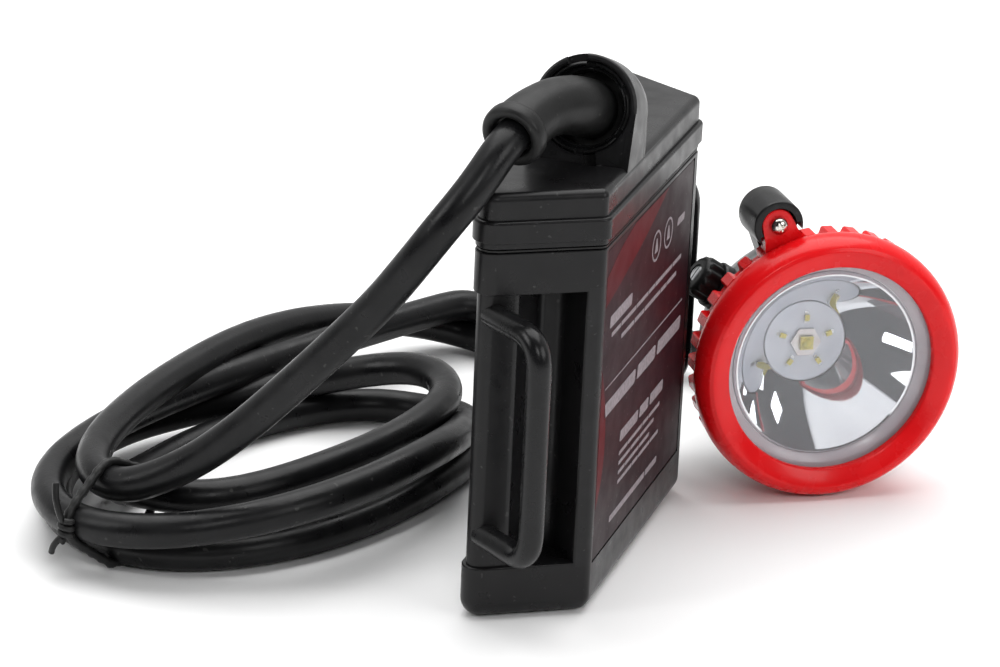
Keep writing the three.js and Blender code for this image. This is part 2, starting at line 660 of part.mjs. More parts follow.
node(headpiece, "housing", "blackPlastic", housing());
node(headpiece, "contact_insert", "brass", ring(1.75, 3, POST_REAR + 1.7, EAR_REAR - 0.4, 16)
  .translate(postCentre.x, postCentre.y, 0));
node(headpiece, "lock_screw", "chrome", atPost(join(
  bar(1.4, -14.5, EAR_FRONT + 0.5, 12),
  spin([[0, 0.3], [2.3, 0.3], [2.3, 0.8], [1.9, 1.6], [1.1, 2.2], [0, 2.4]], 20)
    .translate(0, 0, EAR_FRONT),
)));

// ---------------------------------------------------------------- headpiece: rotary switch

// The knob: a fluted grip with a raised pointer bar and a socket for the shaft.
function switchKnob() {
  const flutes = 14;
  const outline = Array.from({ length: flutes * 4 }, (_, i) => {
    const radius = i % 4 < 2 ? KNOB_RADIUS : KNOB_RADIUS - 0.7;
    const angle = (2 * Math.PI * i) / (flutes * 4);
    return new THREE.Vector2(radius * Math.cos(angle), radius * Math.sin(angle));
  });
  return radialFrame(cut(
    join(
      prism(outline, KNOB_BOTTOM, KNOB_TOP - 1.4),
      spin([[0, KNOB_BOTTOM + 1], [7.2, KNOB_BOTTOM + 1], [7.2, KNOB_TOP - 1.2],
        [6.4, KNOB_TOP - 0.4], [0, KNOB_TOP - 0.4]], 28),
      block(3.2, 7.2, -1, 1, KNOB_TOP - 2, KNOB_TOP),
    ),
    bar(2.2, KNOB_BOTTOM - 1, KNOB_BOTTOM + 4.4, 16),
    bar(1.3, KNOB_BOTTOM + 4, KNOB_TOP, 12),
    bar(2.7, KNOB_TOP - 1.9, KNOB_TOP + 1, 16),
  ));
}

node(headpiece, "switch_body", "blackPlastic", radialFrame(block(-5, 5, -5, 5, 17.6, 23)));
node(headpiece, "switch_seal", "blackRubber", radialFrame(ring(2.25, 2.9, 26.4, 27.8, 16)));
node(headpiece, "switch_shaft", "steel", radialFrame(cut(
  bar(1.9, 23.3, KNOB_BOTTOM + 4.1, 16),
  bar(1, KNOB_BOTTOM - 1, KNOB_TOP, 10),
)));
node(headpiece, "switch_knob", "blackPlastic", switchKnob());
node(headpiece, "knob_screw", "steel", radialFrame(join(
  bar(2.3, KNOB_TOP - 1.6, KNOB_TOP - 0.5, 16),
  bar(0.7, KNOB_BOTTOM + 1, KNOB_TOP - 1.4, 10),
)));

// ---------------------------------------------------------------- headpiece: hook and gland

// Steel strip bent into a flat hook that slides over a helmet bracket.
function rearHook() {
  const thickness = 1.5;
  const face = REAR_FACE - GAP;
  const tongue = face - 7.5;
  const section = roundedOutline([
    [face, -2, 0], [face, 16, 2.4], [tongue, 16, 2.4], [tongue, -5, 0],
    [tongue + thickness, -5, 0], [tongue + thickness, 16 - thickness, 0.9],
    [face - thickness, 16 - thickness, 0.9], [face - thickness, -2, 0],
  ], 3);
  return cut(
    prism(section, -6.5, 6.5).rotateY(-Math.PI / 2),
    ...HOOK_SCREW_HEIGHTS.map((height) => bar(1.5, -42, -38, 10, 0, height)),
  );
}

function hookScrew(height) {
  const seat = REAR_FACE - GAP - 1.5 - GAP;
  return join(
    bar(2.6, seat - 1.5, seat, 16, 0, height),
    bar(1.2, seat - 0.2, REAR_FACE + WALL + 1, 10, 0, height),
  );
}

node(headpiece, "rear_hook", "steel", rearHook());
HOOK_SCREW_HEIGHTS.forEach((height, i) => node(headpiece, `hook_screw_${i + 1}`, "steel",
  hookScrew(height)));
node(headpiece, "headpiece_gland_nut", "blackPlastic", cut(
  bar(8.2, -46, -41.1, 6, 0, GLAND_DROP),
  bar(5.4, -47, -40, 16, 0, GLAND_DROP),
));
node(headpiece, "headpiece_boot", "blackRubber", place(
  new THREE.CylinderGeometry(5.1, 6.2, 12, 16).rotateX(-Math.PI / 2).translate(0, 0, 6),
  new THREE.Vector3(0, GLAND_DROP, -46.3),
  new THREE.Vector3(0, -0.19, -1).normalize(),
  new THREE.Vector3(0, 1, -0.19).normalize(),
));

export default capLamp;
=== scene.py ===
"""The looks of the miner's cap lamp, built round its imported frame. Metres, +Z up.

Shape helpers take millimetres and make their meshes in metres. The cord's routes are in metres.
"""
import json
from math import acos, atan2, cos, hypot, pi, radians, sin, sqrt, tan

import bmesh
import bpy
from mathutils import Matrix, Quaternion, Vector


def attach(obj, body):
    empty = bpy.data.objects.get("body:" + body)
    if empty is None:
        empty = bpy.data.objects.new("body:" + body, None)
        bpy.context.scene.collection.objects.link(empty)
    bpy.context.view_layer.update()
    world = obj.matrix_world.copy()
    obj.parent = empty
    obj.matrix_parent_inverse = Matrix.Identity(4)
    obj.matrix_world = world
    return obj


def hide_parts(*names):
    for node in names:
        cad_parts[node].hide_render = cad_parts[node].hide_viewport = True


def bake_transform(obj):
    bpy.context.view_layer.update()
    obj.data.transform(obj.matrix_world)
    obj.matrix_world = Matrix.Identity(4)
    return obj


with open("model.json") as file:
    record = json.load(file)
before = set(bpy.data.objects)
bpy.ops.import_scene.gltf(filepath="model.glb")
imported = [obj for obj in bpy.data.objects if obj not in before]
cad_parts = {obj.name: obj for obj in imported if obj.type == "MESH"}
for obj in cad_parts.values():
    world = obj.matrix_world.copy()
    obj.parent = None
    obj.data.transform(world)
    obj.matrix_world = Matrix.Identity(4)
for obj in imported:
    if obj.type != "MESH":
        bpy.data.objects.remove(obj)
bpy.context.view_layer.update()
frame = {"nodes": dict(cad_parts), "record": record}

MM = 0.001
scene = bpy.context.scene

# ------------ camera, floor and light

CAMERA_AZIMUTH = radians(-73.26)
CAMERA_ELEVATION = radians(20.36)
CAMERA_ROLL = radians(2.59)
CAMERA_DISTANCE = 0.9966
CAMERA_TARGET = Vector((0, 0.0243, 0.0524))
CAMERA_LENS = 143.5


def make_camera():
    level = cos(CAMERA_ELEVATION)
    back = Vector((sin(CAMERA_AZIMUTH) * level, -cos(CAMERA_AZIMUTH) * level,
                   sin(CAMERA_ELEVATION)))
    right = Vector((0, 0, 1)).cross(back).normalized()
    turn = Matrix((right, back.cross(right), back)).transposed().to_4x4()
    camera = bpy.data.objects.new("camera", bpy.data.cameras.new("camera"))
    camera.data.lens = CAMERA_LENS
    camera.data.sensor_width = 36
    camera.data.clip_start = 0.01
    camera.matrix_world = (Matrix.Translation(CAMERA_TARGET + back * CAMERA_DISTANCE) @ turn
                           @ Matrix.Rotation(CAMERA_ROLL, 4, "Z"))
    scene.collection.objects.link(camera)
    scene.camera = camera


def area_light(name, place, aim, width, height, power):
    """A softbox at `place` that looks at `aim`."""
    data = bpy.data.lights.new(name, "AREA")
    data.shape = "RECTANGLE"
    data.size = width
    data.size_y = height
    data.energy = power
    lamp = bpy.data.objects.new(name, data)
    lamp.location = place
    lamp.rotation_euler = (Vector(aim) - Vector(place)).to_track_quat("-Z", "Y").to_euler()
    scene.collection.objects.link(lamp)


# The room is white towards the sweep and dim on the camera's side; edges are cosines to the sweep.
SWEEP_DIRECTION = (0.86, 0.26, 0.42)
DIM_EDGE, WHITE_EDGE = -0.15, 0.5
DIM_STRENGTH, WHITE_STRENGTH = 0.025, 0.95
FLOOR_HALF, FLOOR_LEVEL, FLOOR_WHITE = 4.0, -0.0002, 0.9
# Each softbox: name, place, aim, width, height and watts.
SOFTBOXES = [
    ("overhead", (0.45, 0.1, 1.5), (0.1, 0, 0), 1.8, 1.8, 30),
    ("left_box", (-0.7, 1.0, 0.85), (0, 0, 0.05), 0.6, 0.6, 5),
    ("right_box", (-0.35, -1.2, 0.75), (0, 0, 0.05), 0.8, 0.6, 5.5),
    ("front_box", (-1.35, -0.55, 1.05), (0, 0, 0.05), 0.4, 0.4, 4.5),
]


def make_world():
    """A white sweep behind the object and a dim room on the side the camera stands."""
    world = bpy.data.worlds.new("studio")
    scene.world = world
    world.use_nodes = True
    nodes, links = world.node_tree.nodes, world.node_tree.links
    nodes.clear()
    direction = nodes.new("ShaderNodeTexCoord")
    toward = nodes.new("ShaderNodeVectorMath")
    toward.operation = "DOT_PRODUCT"
    toward.inputs[1].default_value = SWEEP_DIRECTION
    spread = nodes.new("ShaderNodeMapRange")
    for socket, value in (("From Min", DIM_EDGE), ("From Max", WHITE_EDGE),
                          ("To Min", DIM_STRENGTH), ("To Max", WHITE_STRENGTH)):
        spread.inputs[socket].default_value = value
    room = nodes.new("ShaderNodeBackground")
    sweep = nodes.new("ShaderNodeBackground")
    sweep.inputs["Color"].default_value = (1, 1, 1, 1)
    rays = nodes.new("ShaderNodeLightPath")
    choose = nodes.new("ShaderNodeMixShader")
    output = nodes.new("ShaderNodeOutputWorld")
    links.new(direction.outputs["Generated"], toward.inputs[0])
    links.new(toward.outputs["Value"], spread.inputs["Value"])
    links.new(spread.outputs["Result"], room.inputs["Strength"])
    links.new(rays.outputs["Is Camera Ray"], choose.inputs["Fac"])
    links.new(room.outputs[0], choose.inputs[1])
    links.new(sweep.outputs[0], choose.inputs[2])
    links.new(choose.outputs[0], output.inputs["Surface"])


def make_stage():
    mesh = bpy.data.meshes.new("floor")
    half = FLOOR_HALF
    corners = [(-half, -half), (half, -half), (half, half), (-half, half)]
    mesh.from_pydata([(x, y, FLOOR_LEVEL) for x, y in corners], [], [(0, 1, 2, 3)])
    floor = bpy.data.objects.new("floor", mesh)
    scene.collection.objects.link(floor)
    paper = bpy.data.materials.new("floor_paper")
    paper.use_nodes = True
    shader = paper.node_tree.nodes["Principled BSDF"]
    shader.inputs["Base Color"].default_value = (FLOOR_WHITE, FLOOR_WHITE, FLOOR_WHITE, 1)
    shader.inputs["Roughness"].default_value = 0.85
    shader.inputs["Specular IOR Level"].default_value = 0.1
    mesh.materials.append(paper)
    for box in SOFTBOXES:
        area_light(*box)


make_camera()
make_world()
make_stage()
scene.view_settings.view_transform = "Standard"

# ------------ finishes


class Finish:
    """One procedural material, built up by its methods. Scales are features per metre."""

    def __init__(self, name, colour, roughness, metallic=0.0, **sockets):
        self.name = name
        self.material = bpy.data.materials.new(name)
        self.material.use_nodes = True
        self.tree = self.material.node_tree
        self.shader = self.tree.nodes["Principled BSDF"]
        self.place = self.tree.nodes.new("ShaderNodeTexCoord").outputs["Object"]
        self.shader.inputs["Metallic"].default_value = metallic
        for socket, value in sockets.items():
            self.shader.inputs[socket.replace("_", " ")].default_value = value
        base = self.tree.nodes.new("ShaderNodeRGB")
        base.outputs[0].default_value = (*colour, 1)
        self.colour = base.outputs[0]
        self.roughness = roughness
        self.height = None

    def node(self, kind, **inputs):
        made = self.tree.nodes.new(kind)
        for name, value in inputs.items():
            made.inputs[name.replace("_", " ")].default_value = value
        return made

    def noise(self, scale, detail=3.0, roughness=0.5, stretch=None):
        made = self.node("ShaderNodeTexNoise", Scale=scale, Detail=detail, Roughness=roughness)
        place = self.place
        if stretch:
            mapping = self.node("ShaderNodeMapping", Scale=stretch)
            self.tree.links.new(place, mapping.inputs["Vector"])
            place = mapping.outputs["Vector"]
        self.tree.links.new(place, made.inputs["Vector"])
        return made.outputs["Fac"]

    def remap(self, value, low, high, to_low=0.0, to_high=1.0):
        made = self.node("ShaderNodeMapRange", From_Min=low, From_Max=high, To_Min=to_low,
                         To_Max=to_high)
        self.tree.links.new(value, made.inputs["Value"])
        return made.outputs["Result"]

    def tint(self, colour, amount):
        """Mixes `colour` in where `amount`, a socket, is high."""
        made = self.tree.nodes.new("ShaderNodeMix")
        made.data_type = "RGBA"
        self.tree.links.new(amount, made.inputs[0])
        self.tree.links.new(self.colour, made.inputs[6])
        made.inputs[7].default_value = (*colour, 1)
        self.colour = made.outputs[2]
        return self

    def mottle(self, colour, scale, low=0.35, high=0.7, share=1.0):
        return self.tint(colour, self.remap(self.noise(scale), low, high, 0.0, share))

    def dust(self, colour, scale=900, amount=0.5):
        """Sparse pale specks."""
        return self.tint(colour, self.remap(self.noise(scale, 1.0), 0.72, 0.78, 0.0, amount))

    def wear(self, colour, start=0.52, end=0.6, amount=0.6):
        """Rubbed edges."""
        edge = self.tree.nodes.new("ShaderNodeNewGeometry").outputs["Pointiness"]
        rubbed = self.remap(edge, start, end, 0.0, amount)
        patchy = self.remap(self.noise(260), 0.35, 0.65, 0.3, 1.0)
        both = self.tree.nodes.new("ShaderNodeMath")
        both.operation = "MULTIPLY"
        self.tree.links.new(rubbed, both.inputs[0])
        self.tree.links.new(patchy, both.inputs[1])
        return self.tint(colour, both.outputs[0])

    def grain(self, scale, depth, detail=2.0, stretch=None):
        """Bump from noise; depth is in millimetres."""
        bump = self.node("ShaderNodeBump", Strength=1.0, Distance=depth * MM)
        self.tree.links.new(self.noise(scale, detail, stretch=stretch), bump.inputs["Height"])
        if self.height:
            self.tree.links.new(self.height, bump.inputs["Normal"])
        self.height = bump.outputs["Normal"]
        return self

    def done(self, roughness_spread=0.06, roughness_scale=160):
        self.tree.links.new(self.colour, self.shader.inputs["Base Color"])
        rough = self.remap(self.noise(roughness_scale), 0.3, 0.7,
                           max(self.roughness - roughness_spread, 0.01),
                           self.roughness + roughness_spread)
        self.tree.links.new(rough, self.shader.inputs["Roughness"])
        if self.height:
            self.tree.links.new(self.height, self.shader.inputs["Normal"])
        return self


def make_finishes():
    """Every material by its name, which is the slot's where the record has one."""
    finishes = [
        Finish("case_black", (0.006, 0.006, 0.0065), 0.32, Specular_IOR_Level=0.25)
        .mottle((0.008, 0.0075, 0.008), 45).dust((0.12, 0.12, 0.12), 700, 0.25)
        .wear((0.02, 0.02, 0.021), amount=0.4).grain(2600, 0.012).grain(240, 0.01).done(0.07),
        Finish("loop_black", (0.005, 0.005, 0.0055), 0.27, Specular_IOR_Level=0.27)
        .mottle((0.008, 0.008, 0.0085), 70).wear((0.03, 0.03, 0.03)).grain(2200, 0.010).done(),
        Finish("rubber_black", (0.006, 0.006, 0.006), 0.42, Specular_IOR_Level=0.26)
        .mottle((0.010, 0.010, 0.010), 90).dust((0.11, 0.11, 0.10), 600, 0.3)
        .wear((0.022, 0.022, 0.022)).grain(1700, 0.03).grain(260, 0.05).done(0.08),
        Finish("cord_rubber", (0.0035, 0.0035, 0.004), 0.33, Specular_IOR_Level=0.22)
        .mottle((0.009, 0.009, 0.0095), 60).dust((0.10, 0.10, 0.095), 520, 0.3)
        .grain(1500, 0.03).grain(180, 0.08).done(0.09),
        Finish("ring_red", (0.80, 0.007, 0.010), 0.26, Specular_IOR_Level=0.22, Coat_Weight=0.1,
               Coat_Roughness=0.08)
        .mottle((0.66, 0.005, 0.008), 60, share=0.6).grain(1400, 0.006).grain(120, 0.02).done(0.05),
        Finish("label_film", (0.016, 0.007, 0.010), 0.42, Specular_IOR_Level=0.12)
        .mottle((0.020, 0.008, 0.011), 30).dust((0.25, 0.22, 0.22), 800, 0.3)
        .grain(900, 0.006).done(0.05),
        Finish("print_red", (0.10, 0.004, 0.008), 0.42, Specular_IOR_Level=0.12)
        .mottle((0.07, 0.003, 0.006), 38, 0.3, 0.75).grain(900, 0.006).done(0.05),
        Finish("print_pale", (0.30, 0.27, 0.29), 0.45, Specular_IOR_Level=0.12)
        .mottle((0.20, 0.18, 0.19), 900).grain(900, 0.006).done(0.05),
        Finish("lens_clear", (0.9, 0.93, 0.96), 0.03, Alpha=0.1)
        .mottle((0.86, 0.88, 0.92), 50).grain(300, 0.002).done(0.01),
        Finish("seal_pale", (0.52, 0.48, 0.52), 0.3, Coat_Weight=0.4, Coat_Roughness=0.1)
        .mottle((0.42, 0.38, 0.42), 80).grain(900, 0.01).done(),
        Finish("reflector_chrome", (0.83, 0.84, 0.86), 0.035, 1.0)
        .mottle((0.76, 0.77, 0.8), 70).grain(160, 0.006).done(0.02),
        Finish("screw_chrome", (0.72, 0.70, 0.66), 0.16, 1.0)
        .mottle((0.5, 0.47, 0.42), 500).grain(1500, 0.01).done(0.08),
        Finish("steel", (0.55, 0.56, 0.57), 0.3, 1.0).mottle((0.42, 0.42, 0.43), 120)
        .grain(600, 0.02, stretch=(1, 1, 12)).done(0.1),
        Finish("brass", (0.6, 0.3, 0.1), 0.28, 1.0).mottle((0.4, 0.17, 0.06), 300)
        .grain(900, 0.015).done(0.1),
        Finish("sink_aluminium", (0.62, 0.60, 0.60), 0.36, 1.0).mottle((0.5, 0.46, 0.46), 200)
        .grain(1200, 0.01).done(0.08),
        Finish("board_white", (0.66, 0.69, 0.76), 0.4).mottle((0.56, 0.6, 0.68), 130)
        .grain(1400, 0.008).done(),
        Finish("led_yellow", (0.72, 0.60, 0.10), 0.3, Coat_Weight=0.6, Coat_Roughness=0.05)
        .mottle((0.5, 0.46, 0.08), 900).grain(2000, 0.01).done(),
        Finish("board_green", (0.02, 0.12, 0.05), 0.4).mottle((0.03, 0.2, 0.08), 250)
        .grain(900, 0.02).done(),
        Finish("cell_wrap", (0.03, 0.16, 0.4), 0.3, Coat_Weight=0.3).mottle((0.02, 0.11, 0.3), 60)
        .grain(500, 0.02).done(),
    ]
    return {finish.name: finish.material for finish in finishes}


FINISHES = make_finishes()


def dress(piece, finish):
    piece.data.materials.clear()
    piece.data.materials.append(FINISHES[finish])


# ------------ mesh helpers


def new_piece(name, vertices, faces, finish, body="battery", slot=None, stands_for=(), smooth=40):
    """A mesh piece from millimetre vertices, shaded smooth up to `smooth` degrees, on a body."""
    mesh = bpy.data.meshes.new(name)
    mesh.from_pydata([Vector(v) * MM for v in vertices], [], faces)
    mesh.validate()
    built = bmesh.new()
    built.from_mesh(mesh)
    bmesh.ops.recalc_face_normals(built, faces=built.faces)
    built.to_mesh(mesh)
    built.free()
    mesh.shade_smooth()
    mesh.set_sharp_from_angle(angle=radians(smooth))
    piece = bpy.data.objects.new(name, mesh)
    scene.collection.objects.link(piece)
    dress(piece, finish)
    if body:
        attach(piece, body)
    if stands_for:
        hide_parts(*stands_for)
    return piece


def soften(piece, width):
    """Rounds a piece's edges; width is in millimetres."""
    bevel = piece.modifiers.new("rounded_edges", "BEVEL")
    bevel.width = width * MM
    bevel.segments = 3
    bevel.limit_method = "ANGLE"
    bevel.angle_limit = radians(30)
    bevel.use_clamp_overlap = True
    piece.modifiers.new("even_shading", "WEIGHTED_NORMAL").keep_sharp = False


def even_shading(piece):
    """Shades flat faces flat beside rounded edges."""
    piece.modifiers.new("even_shading", "WEIGHTED_NORMAL").keep_sharp = True


def soften_cad(name, width):
    """Rounds a CAD node's edges after merging its flat faces."""
    node = frame["nodes"][name]
    node.data.shade_smooth()
    flat = node.modifiers.new("flat_faces", "DECIMATE")
    flat.decimate_type = "DISSOLVE"
    flat.angle_limit = radians(1.0)
    soften(node, width)


def add_parts(*parts):
    """Joins (vertices, faces) pairs into one pair."""
    vertices, faces = [], []
    for more_vertices, more_faces in parts:
        start = len(vertices)
        vertices += [Vector(v) for v in more_vertices]
        faces += [tuple(start + i for i in face) for face in more_faces]
    return vertices, faces


def moved(part, matrix):
    return [matrix @ Vector(v) for v in part[0]], part[1]


def catmull(points, steps):
    """A smooth line through the points, with `steps` places between neighbours."""
    points = [Vector(p) for p in points]
    padded = [points[0] * 2 - points[1], *points, points[-1] * 2 - points[-2]]
    line = []
    for p0, p1, p2, p3 in zip(padded, padded[1:], padded[2:], padded[3:]):
        for k in range(steps):
            t = k / steps
            line.append((p1 * 2 + (p2 - p0) * t + (p0 * 2 - p1 * 5 + p2 * 4 - p3) * t * t
                         + (p1 * 3 - p0 - p2 * 3 + p3) * t ** 3) / 2)
    line.append(points[-1])
    return line


def even_line(line, step):
    """The same line with places a `step` apart."""
    total = sum((b - a).length for a, b in zip(line, line[1:]))
    count = max(2, round(total / step))
    marks = [total * i / count for i in range(count + 1)]
    out, walked, i = [], 0.0, 0
    for mark in marks:
        while i < len(line) - 2 and walked + (line[i + 1] - line[i]).length < mark:
            walked += (line[i + 1] - line[i]).length
            i += 1
        span = (line[i + 1] - line[i]).length or 1.0
        out.append(line[i].lerp(line[i + 1], min(1.0, (mark - walked) / span)))
    return out


def relax(line, rounds):
    """Evens out a line's bends; its ends stay."""
    for _ in range(rounds):
        line = [line[0]] + [(a + b * 2 + c) / 4 for a, b, c in zip(line, line[1:], line[2:])] \
            + [line[-1]]
    return line


def sweep(line, radii, sides, closed=False):
    """A tube along a line, with capped ends if it's open; radii is one radius or one per place."""
    count = len(line)
    if not hasattr(radii, "__len__"):
        radii = [radii] * count
    tangents = []
    for i in range(count):
        ahead = line[(i + 1) % count] if closed else line[min(i + 1, count - 1)]
        behind = line[i - 1] if closed or i else line[0]
        tangents.append((ahead - behind).normalized())
    normals = [tangents[0].orthogonal().normalized()]
    for before, after in zip(tangents, tangents[1:]):
        normals.append(before.rotation_difference(after) @ normals[-1])
    twist = 0.0
    if closed:
        last = tangents[-1].rotation_difference(tangents[0]) @ normals[-1]
        twist = atan2(last.cross(normals[0]).dot(tangents[0]), last.dot(normals[0]))
    vertices, faces = [], []
    for i in range(count):
        turned = Quaternion(tangents[i], twist * i / count) @ normals[i]
        side = tangents[i].cross(turned)
        for k in range(sides):
            angle = 2 * pi * k / sides
            spoke = turned * cos(angle) + side * sin(angle)
            vertices.append(line[i] + spoke * radii[i])
    for i in range(count if closed else count - 1):
        j = (i + 1) % count
        for k in range(sides):
            m = (k + 1) % sides
            faces.append((i * sides + k, i * sides + m, j * sides + m, j * sides + k))
    if not closed:
        faces.append(tuple(reversed(range(sides))))
        faces.append(tuple((count - 1) * sides + k for k in range(sides)))
    return vertices, faces


def spin(profile, segments=96, closed=False):
    """A solid of revolution about Z from (radius, height) pairs; a radius of 0 is a pole."""
    vertices, faces, rows = [], [], []
    for radius, height in profile:
        if radius < 1e-6:
            rows.append([len(vertices)] * segments)
            vertices.append(Vector((0, 0, height)))
            continue
        rows.append(list(range(len(vertices), len(vertices) + segments)))
        for k in range(segments):
            angle = 2 * pi * k / segments
            vertices.append(Vector((radius * cos(angle), radius * sin(angle), height)))
    pairs = list(zip(rows, rows[1:]))
    if closed:
        pairs.append((rows[-1], rows[0]))
    for low, high in pairs:
        for k in range(segments):
            m = (k + 1) % segments
            face = []
            for i in (low[k], low[m], high[m], high[k]):
                if i not in face:
                    face.append(i)
            if len(face) > 2:
                faces.append(tuple(face))
    return vertices, faces


def loft(sections):
    """Joins closed outlines of equal length, each a list of 3D points, and caps both ends."""
    count = len(sections[0])
    vertices = [Vector(p) for section in sections for p in section]
    faces = [tuple(reversed(range(count)))]
    for i in range(len(sections) - 1):
        for k in range(count):
            m = (k + 1) % count
            faces.append((i * count + k, i * count + m, (i + 1) * count + m, (i + 1) * count + k))
    faces.append(tuple((len(sections) - 1) * count + k for k in range(count)))
    return vertices, faces


def prism(outline, bottom, top):
    """An upright block over an XY outline."""
    return loft([[(x, y, z) for x, y in outline] for z in (bottom, top)])


def ring_outline(radius, sides, x=0.0, y=0.0):
    return [(x + radius * cos(2 * pi * k / sides),
             y + radius * sin(2 * pi * k / sides)) for k in range(sides)]


def rounded(corners, steps=8):
    """A closed XY outline whose corners, given as (x, y, radius), are arcs."""
    points = []
    count = len(corners)
    for i, (x, y, radius) in enumerate(corners):
        corner = Vector((x, y))
        if not radius:
            points.append(corner)
            continue
        back = (Vector(corners[i - 1][:2]) - corner).normalized()
        ahead = (Vector(corners[(i + 1) % count][:2]) - corner).normalized()
        half = acos(max(-1.0, min(1.0, back.dot(ahead)))) / 2
        centre = corner + (back + ahead).normalized() * (radius / sin(half))
        start = corner + back * (radius / tan(half)) - centre
        end = corner + ahead * (radius / tan(half)) - centre
        sweep_angle = atan2(start.x * end.y - start.y * end.x, start.dot(end))
        for k in range(steps + 1):
            a = sweep_angle * k / steps
            points.append(centre + Vector((start.x * cos(a) - start.y * sin(a),
                                           start.x * sin(a) + start.y * cos(a))))
    return [(p.x, p.y) for p in points]


JOIN, CUT, OVERLAP = "UNION", "DIFFERENCE", "INTERSECT"


def carved(base, *steps):
    """A part after joins, cuts and overlaps, each given as (operation, part)."""
    def temporary(part):
        mesh = bpy.data.meshes.new("temporary")
        mesh.from_pydata([Vector(v) for v in part[0]], [], part[1])
        built = bmesh.new()
        built.from_mesh(mesh)
        bmesh.ops.remove_doubles(built, verts=built.verts, dist=1e-5)
        bmesh.ops.recalc_face_normals(built, faces=built.faces)
        built.to_mesh(mesh)
        built.free()
        holder = bpy.data.objects.new("temporary", mesh)
        scene.collection.objects.link(holder)
        return holder

    holder = temporary(base)
    tools = []
    for operation, part in steps:
        tool = temporary(part)
        tools.append(tool)
        boolean = holder.modifiers.new(operation, "BOOLEAN")
        boolean.operation = operation
        boolean.solver = "EXACT"
        boolean.object = tool
    bpy.context.view_layer.update()
    done = holder.evaluated_get(bpy.context.evaluated_depsgraph_get()).to_mesh()
    result = ([v.co.copy() for v in done.vertices], [tuple(f.vertices) for f in done.polygons])
    for leftover in [holder, *tools]:
        mesh = leftover.data
        bpy.data.objects.remove(leftover)
        bpy.data.meshes.remove(mesh)
    return result


def block(x0, x1, y0, y1, z0, z1):
    return prism([(x0, y0), (x1, y0), (x1, y1), (x0, y1)], z0, z1)


def bar(radius, bottom, top, sides=48, x=0.0, y=0.0):
    return prism(ring_outline(radius, sides, x, y), bottom, top)


def frame_at(origin, forward, up=(0, 0, 1)):
    """The matrix that turns +Z to `forward` and +Y towards `up`, and moves the origin to `origin`."""
    forward = Vector(forward).normalized()
    right = Vector(up).cross(forward).normalized()
    turn = Matrix((right, forward.cross(right), forward)).transposed().to_4x4()
    return Matrix.Translation(Vector(origin)) @ turn


# ------------ cord

CORD_RADIUS = 4.4
# The route repeats the CAD model's, in metres: out of the boot, down to the coil ...
DROP_PATH = [
    (-0.0450, 0.0087, 0.1205), (-0.0489, 0.0095, 0.11945), (-0.0507, 0.0099, 0.1189),
    (-0.0538, 0.0112, 0.1162), (-0.0572, 0.0132, 0.1119), (-0.0610, 0.0160, 0.1071),
    (-0.0636, 0.0203, 0.1008), (-0.0642, 0.0267, 0.0914), (-0.0630, 0.0350, 0.0800),
    (-0.0613, 0.0456, 0.0676), (-0.0598, 0.0580, 0.0540), (-0.0589, 0.0695, 0.0420),
    (-0.0584, 0.0803, 0.0323), (-0.0585, 0.0900, 0.0257), (-0.0588, 0.0980, 0.0218),
]
# ... and from the coil to the headpiece.
TAIL_PATH = [
    (0.1216, 0.0600, 0.0106), (0.1244, 0.0485, 0.0074), (0.1260, 0.0370, 0.0052),
    (0.1262, 0.0240, 0.0048), (0.1248, 0.0110, 0.0073), (0.1212, 0.0000, 0.0114),
    (0.1160, -0.0075, 0.0156), (0.1100, -0.0127, 0.0185), (0.1041, -0.0165, 0.0199),
]
# The coil: an oval for each half turn, as centre x, y, half length, half width and turn in degrees.
COIL_OVALS = [
    (33, 81, 93, 36, -14), (27, 79, 92, 35, -9), (6, 85, 67, 42, -21), (-3, 90, 59, 36, -37),
    (-3, 85, 50, 33, -9), (-5, 81, 65, 29, -12), (1, 73, 77, 44, -31), (29, 87, 90, 26, -11),
]
# The cord's height at each quarter turn, from the left end and clockwise.
COIL_HEIGHTS = [20, 21, 4.5, 4.5, 4.5, 7, 21, 20, 17.5, 4.5, 4.5, 21, 13, 15.5, 14.5]
STEPS_PER_TURN = 48
CORD_STEP = 0.002


def coil_line():
    """The coil's centre line: each place lies on an oval that changes slowly from turn to turn."""
    half = STEPS_PER_TURN // 2
    quarter = STEPS_PER_TURN // 4
    ovals = catmull([Vector(oval[:4]) for oval in COIL_OVALS], half)
    tilts = catmull([Vector((oval[4], 0, 0)) for oval in COIL_OVALS], half)
    line = []
    for i, (oval, tilt) in enumerate(zip(ovals, tilts)):
        angle = pi - 2 * pi * i / STEPS_PER_TURN
        turn = radians(tilt.x)
        along, across = oval[2] * cos(angle), oval[3] * sin(angle)
        part, share = min(i // quarter, len(COIL_HEIGHTS) - 2), (i % quarter) / quarter
        if i == len(ovals) - 1:
            share = 1.0
        ease = share * share * (3 - 2 * share)
        height = COIL_HEIGHTS[part] + (COIL_HEIGHTS[part + 1] - COIL_HEIGHTS[part]) * ease
        line.append(Vector((oval[0] + along * cos(turn) - across * sin(turn),
                            oval[1] + along * sin(turn) + across * cos(turn),
                            height)) * MM)
    return line


def make_cord():
    coil = coil_line()
    line = catmull(DROP_PATH + [coil[0]], 10)[:-1] + coil + catmull([coil[-1]] + TAIL_PATH, 10)[1:]
    line = relax(even_line(line, CORD_STEP), 6)
    tube = sweep([p / MM for p in line], CORD_RADIUS, 24)
    cord = new_piece("cord", *tube, "cord_rubber", body=None, smooth=60,
                     stands_for=("cord_drop", "cord_coil", "cord_tail"))
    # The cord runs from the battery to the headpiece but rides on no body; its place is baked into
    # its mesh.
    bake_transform(cord)
    return cord, line


cord, cord_line = make_cord()

# ------------ tie round the coil's left end

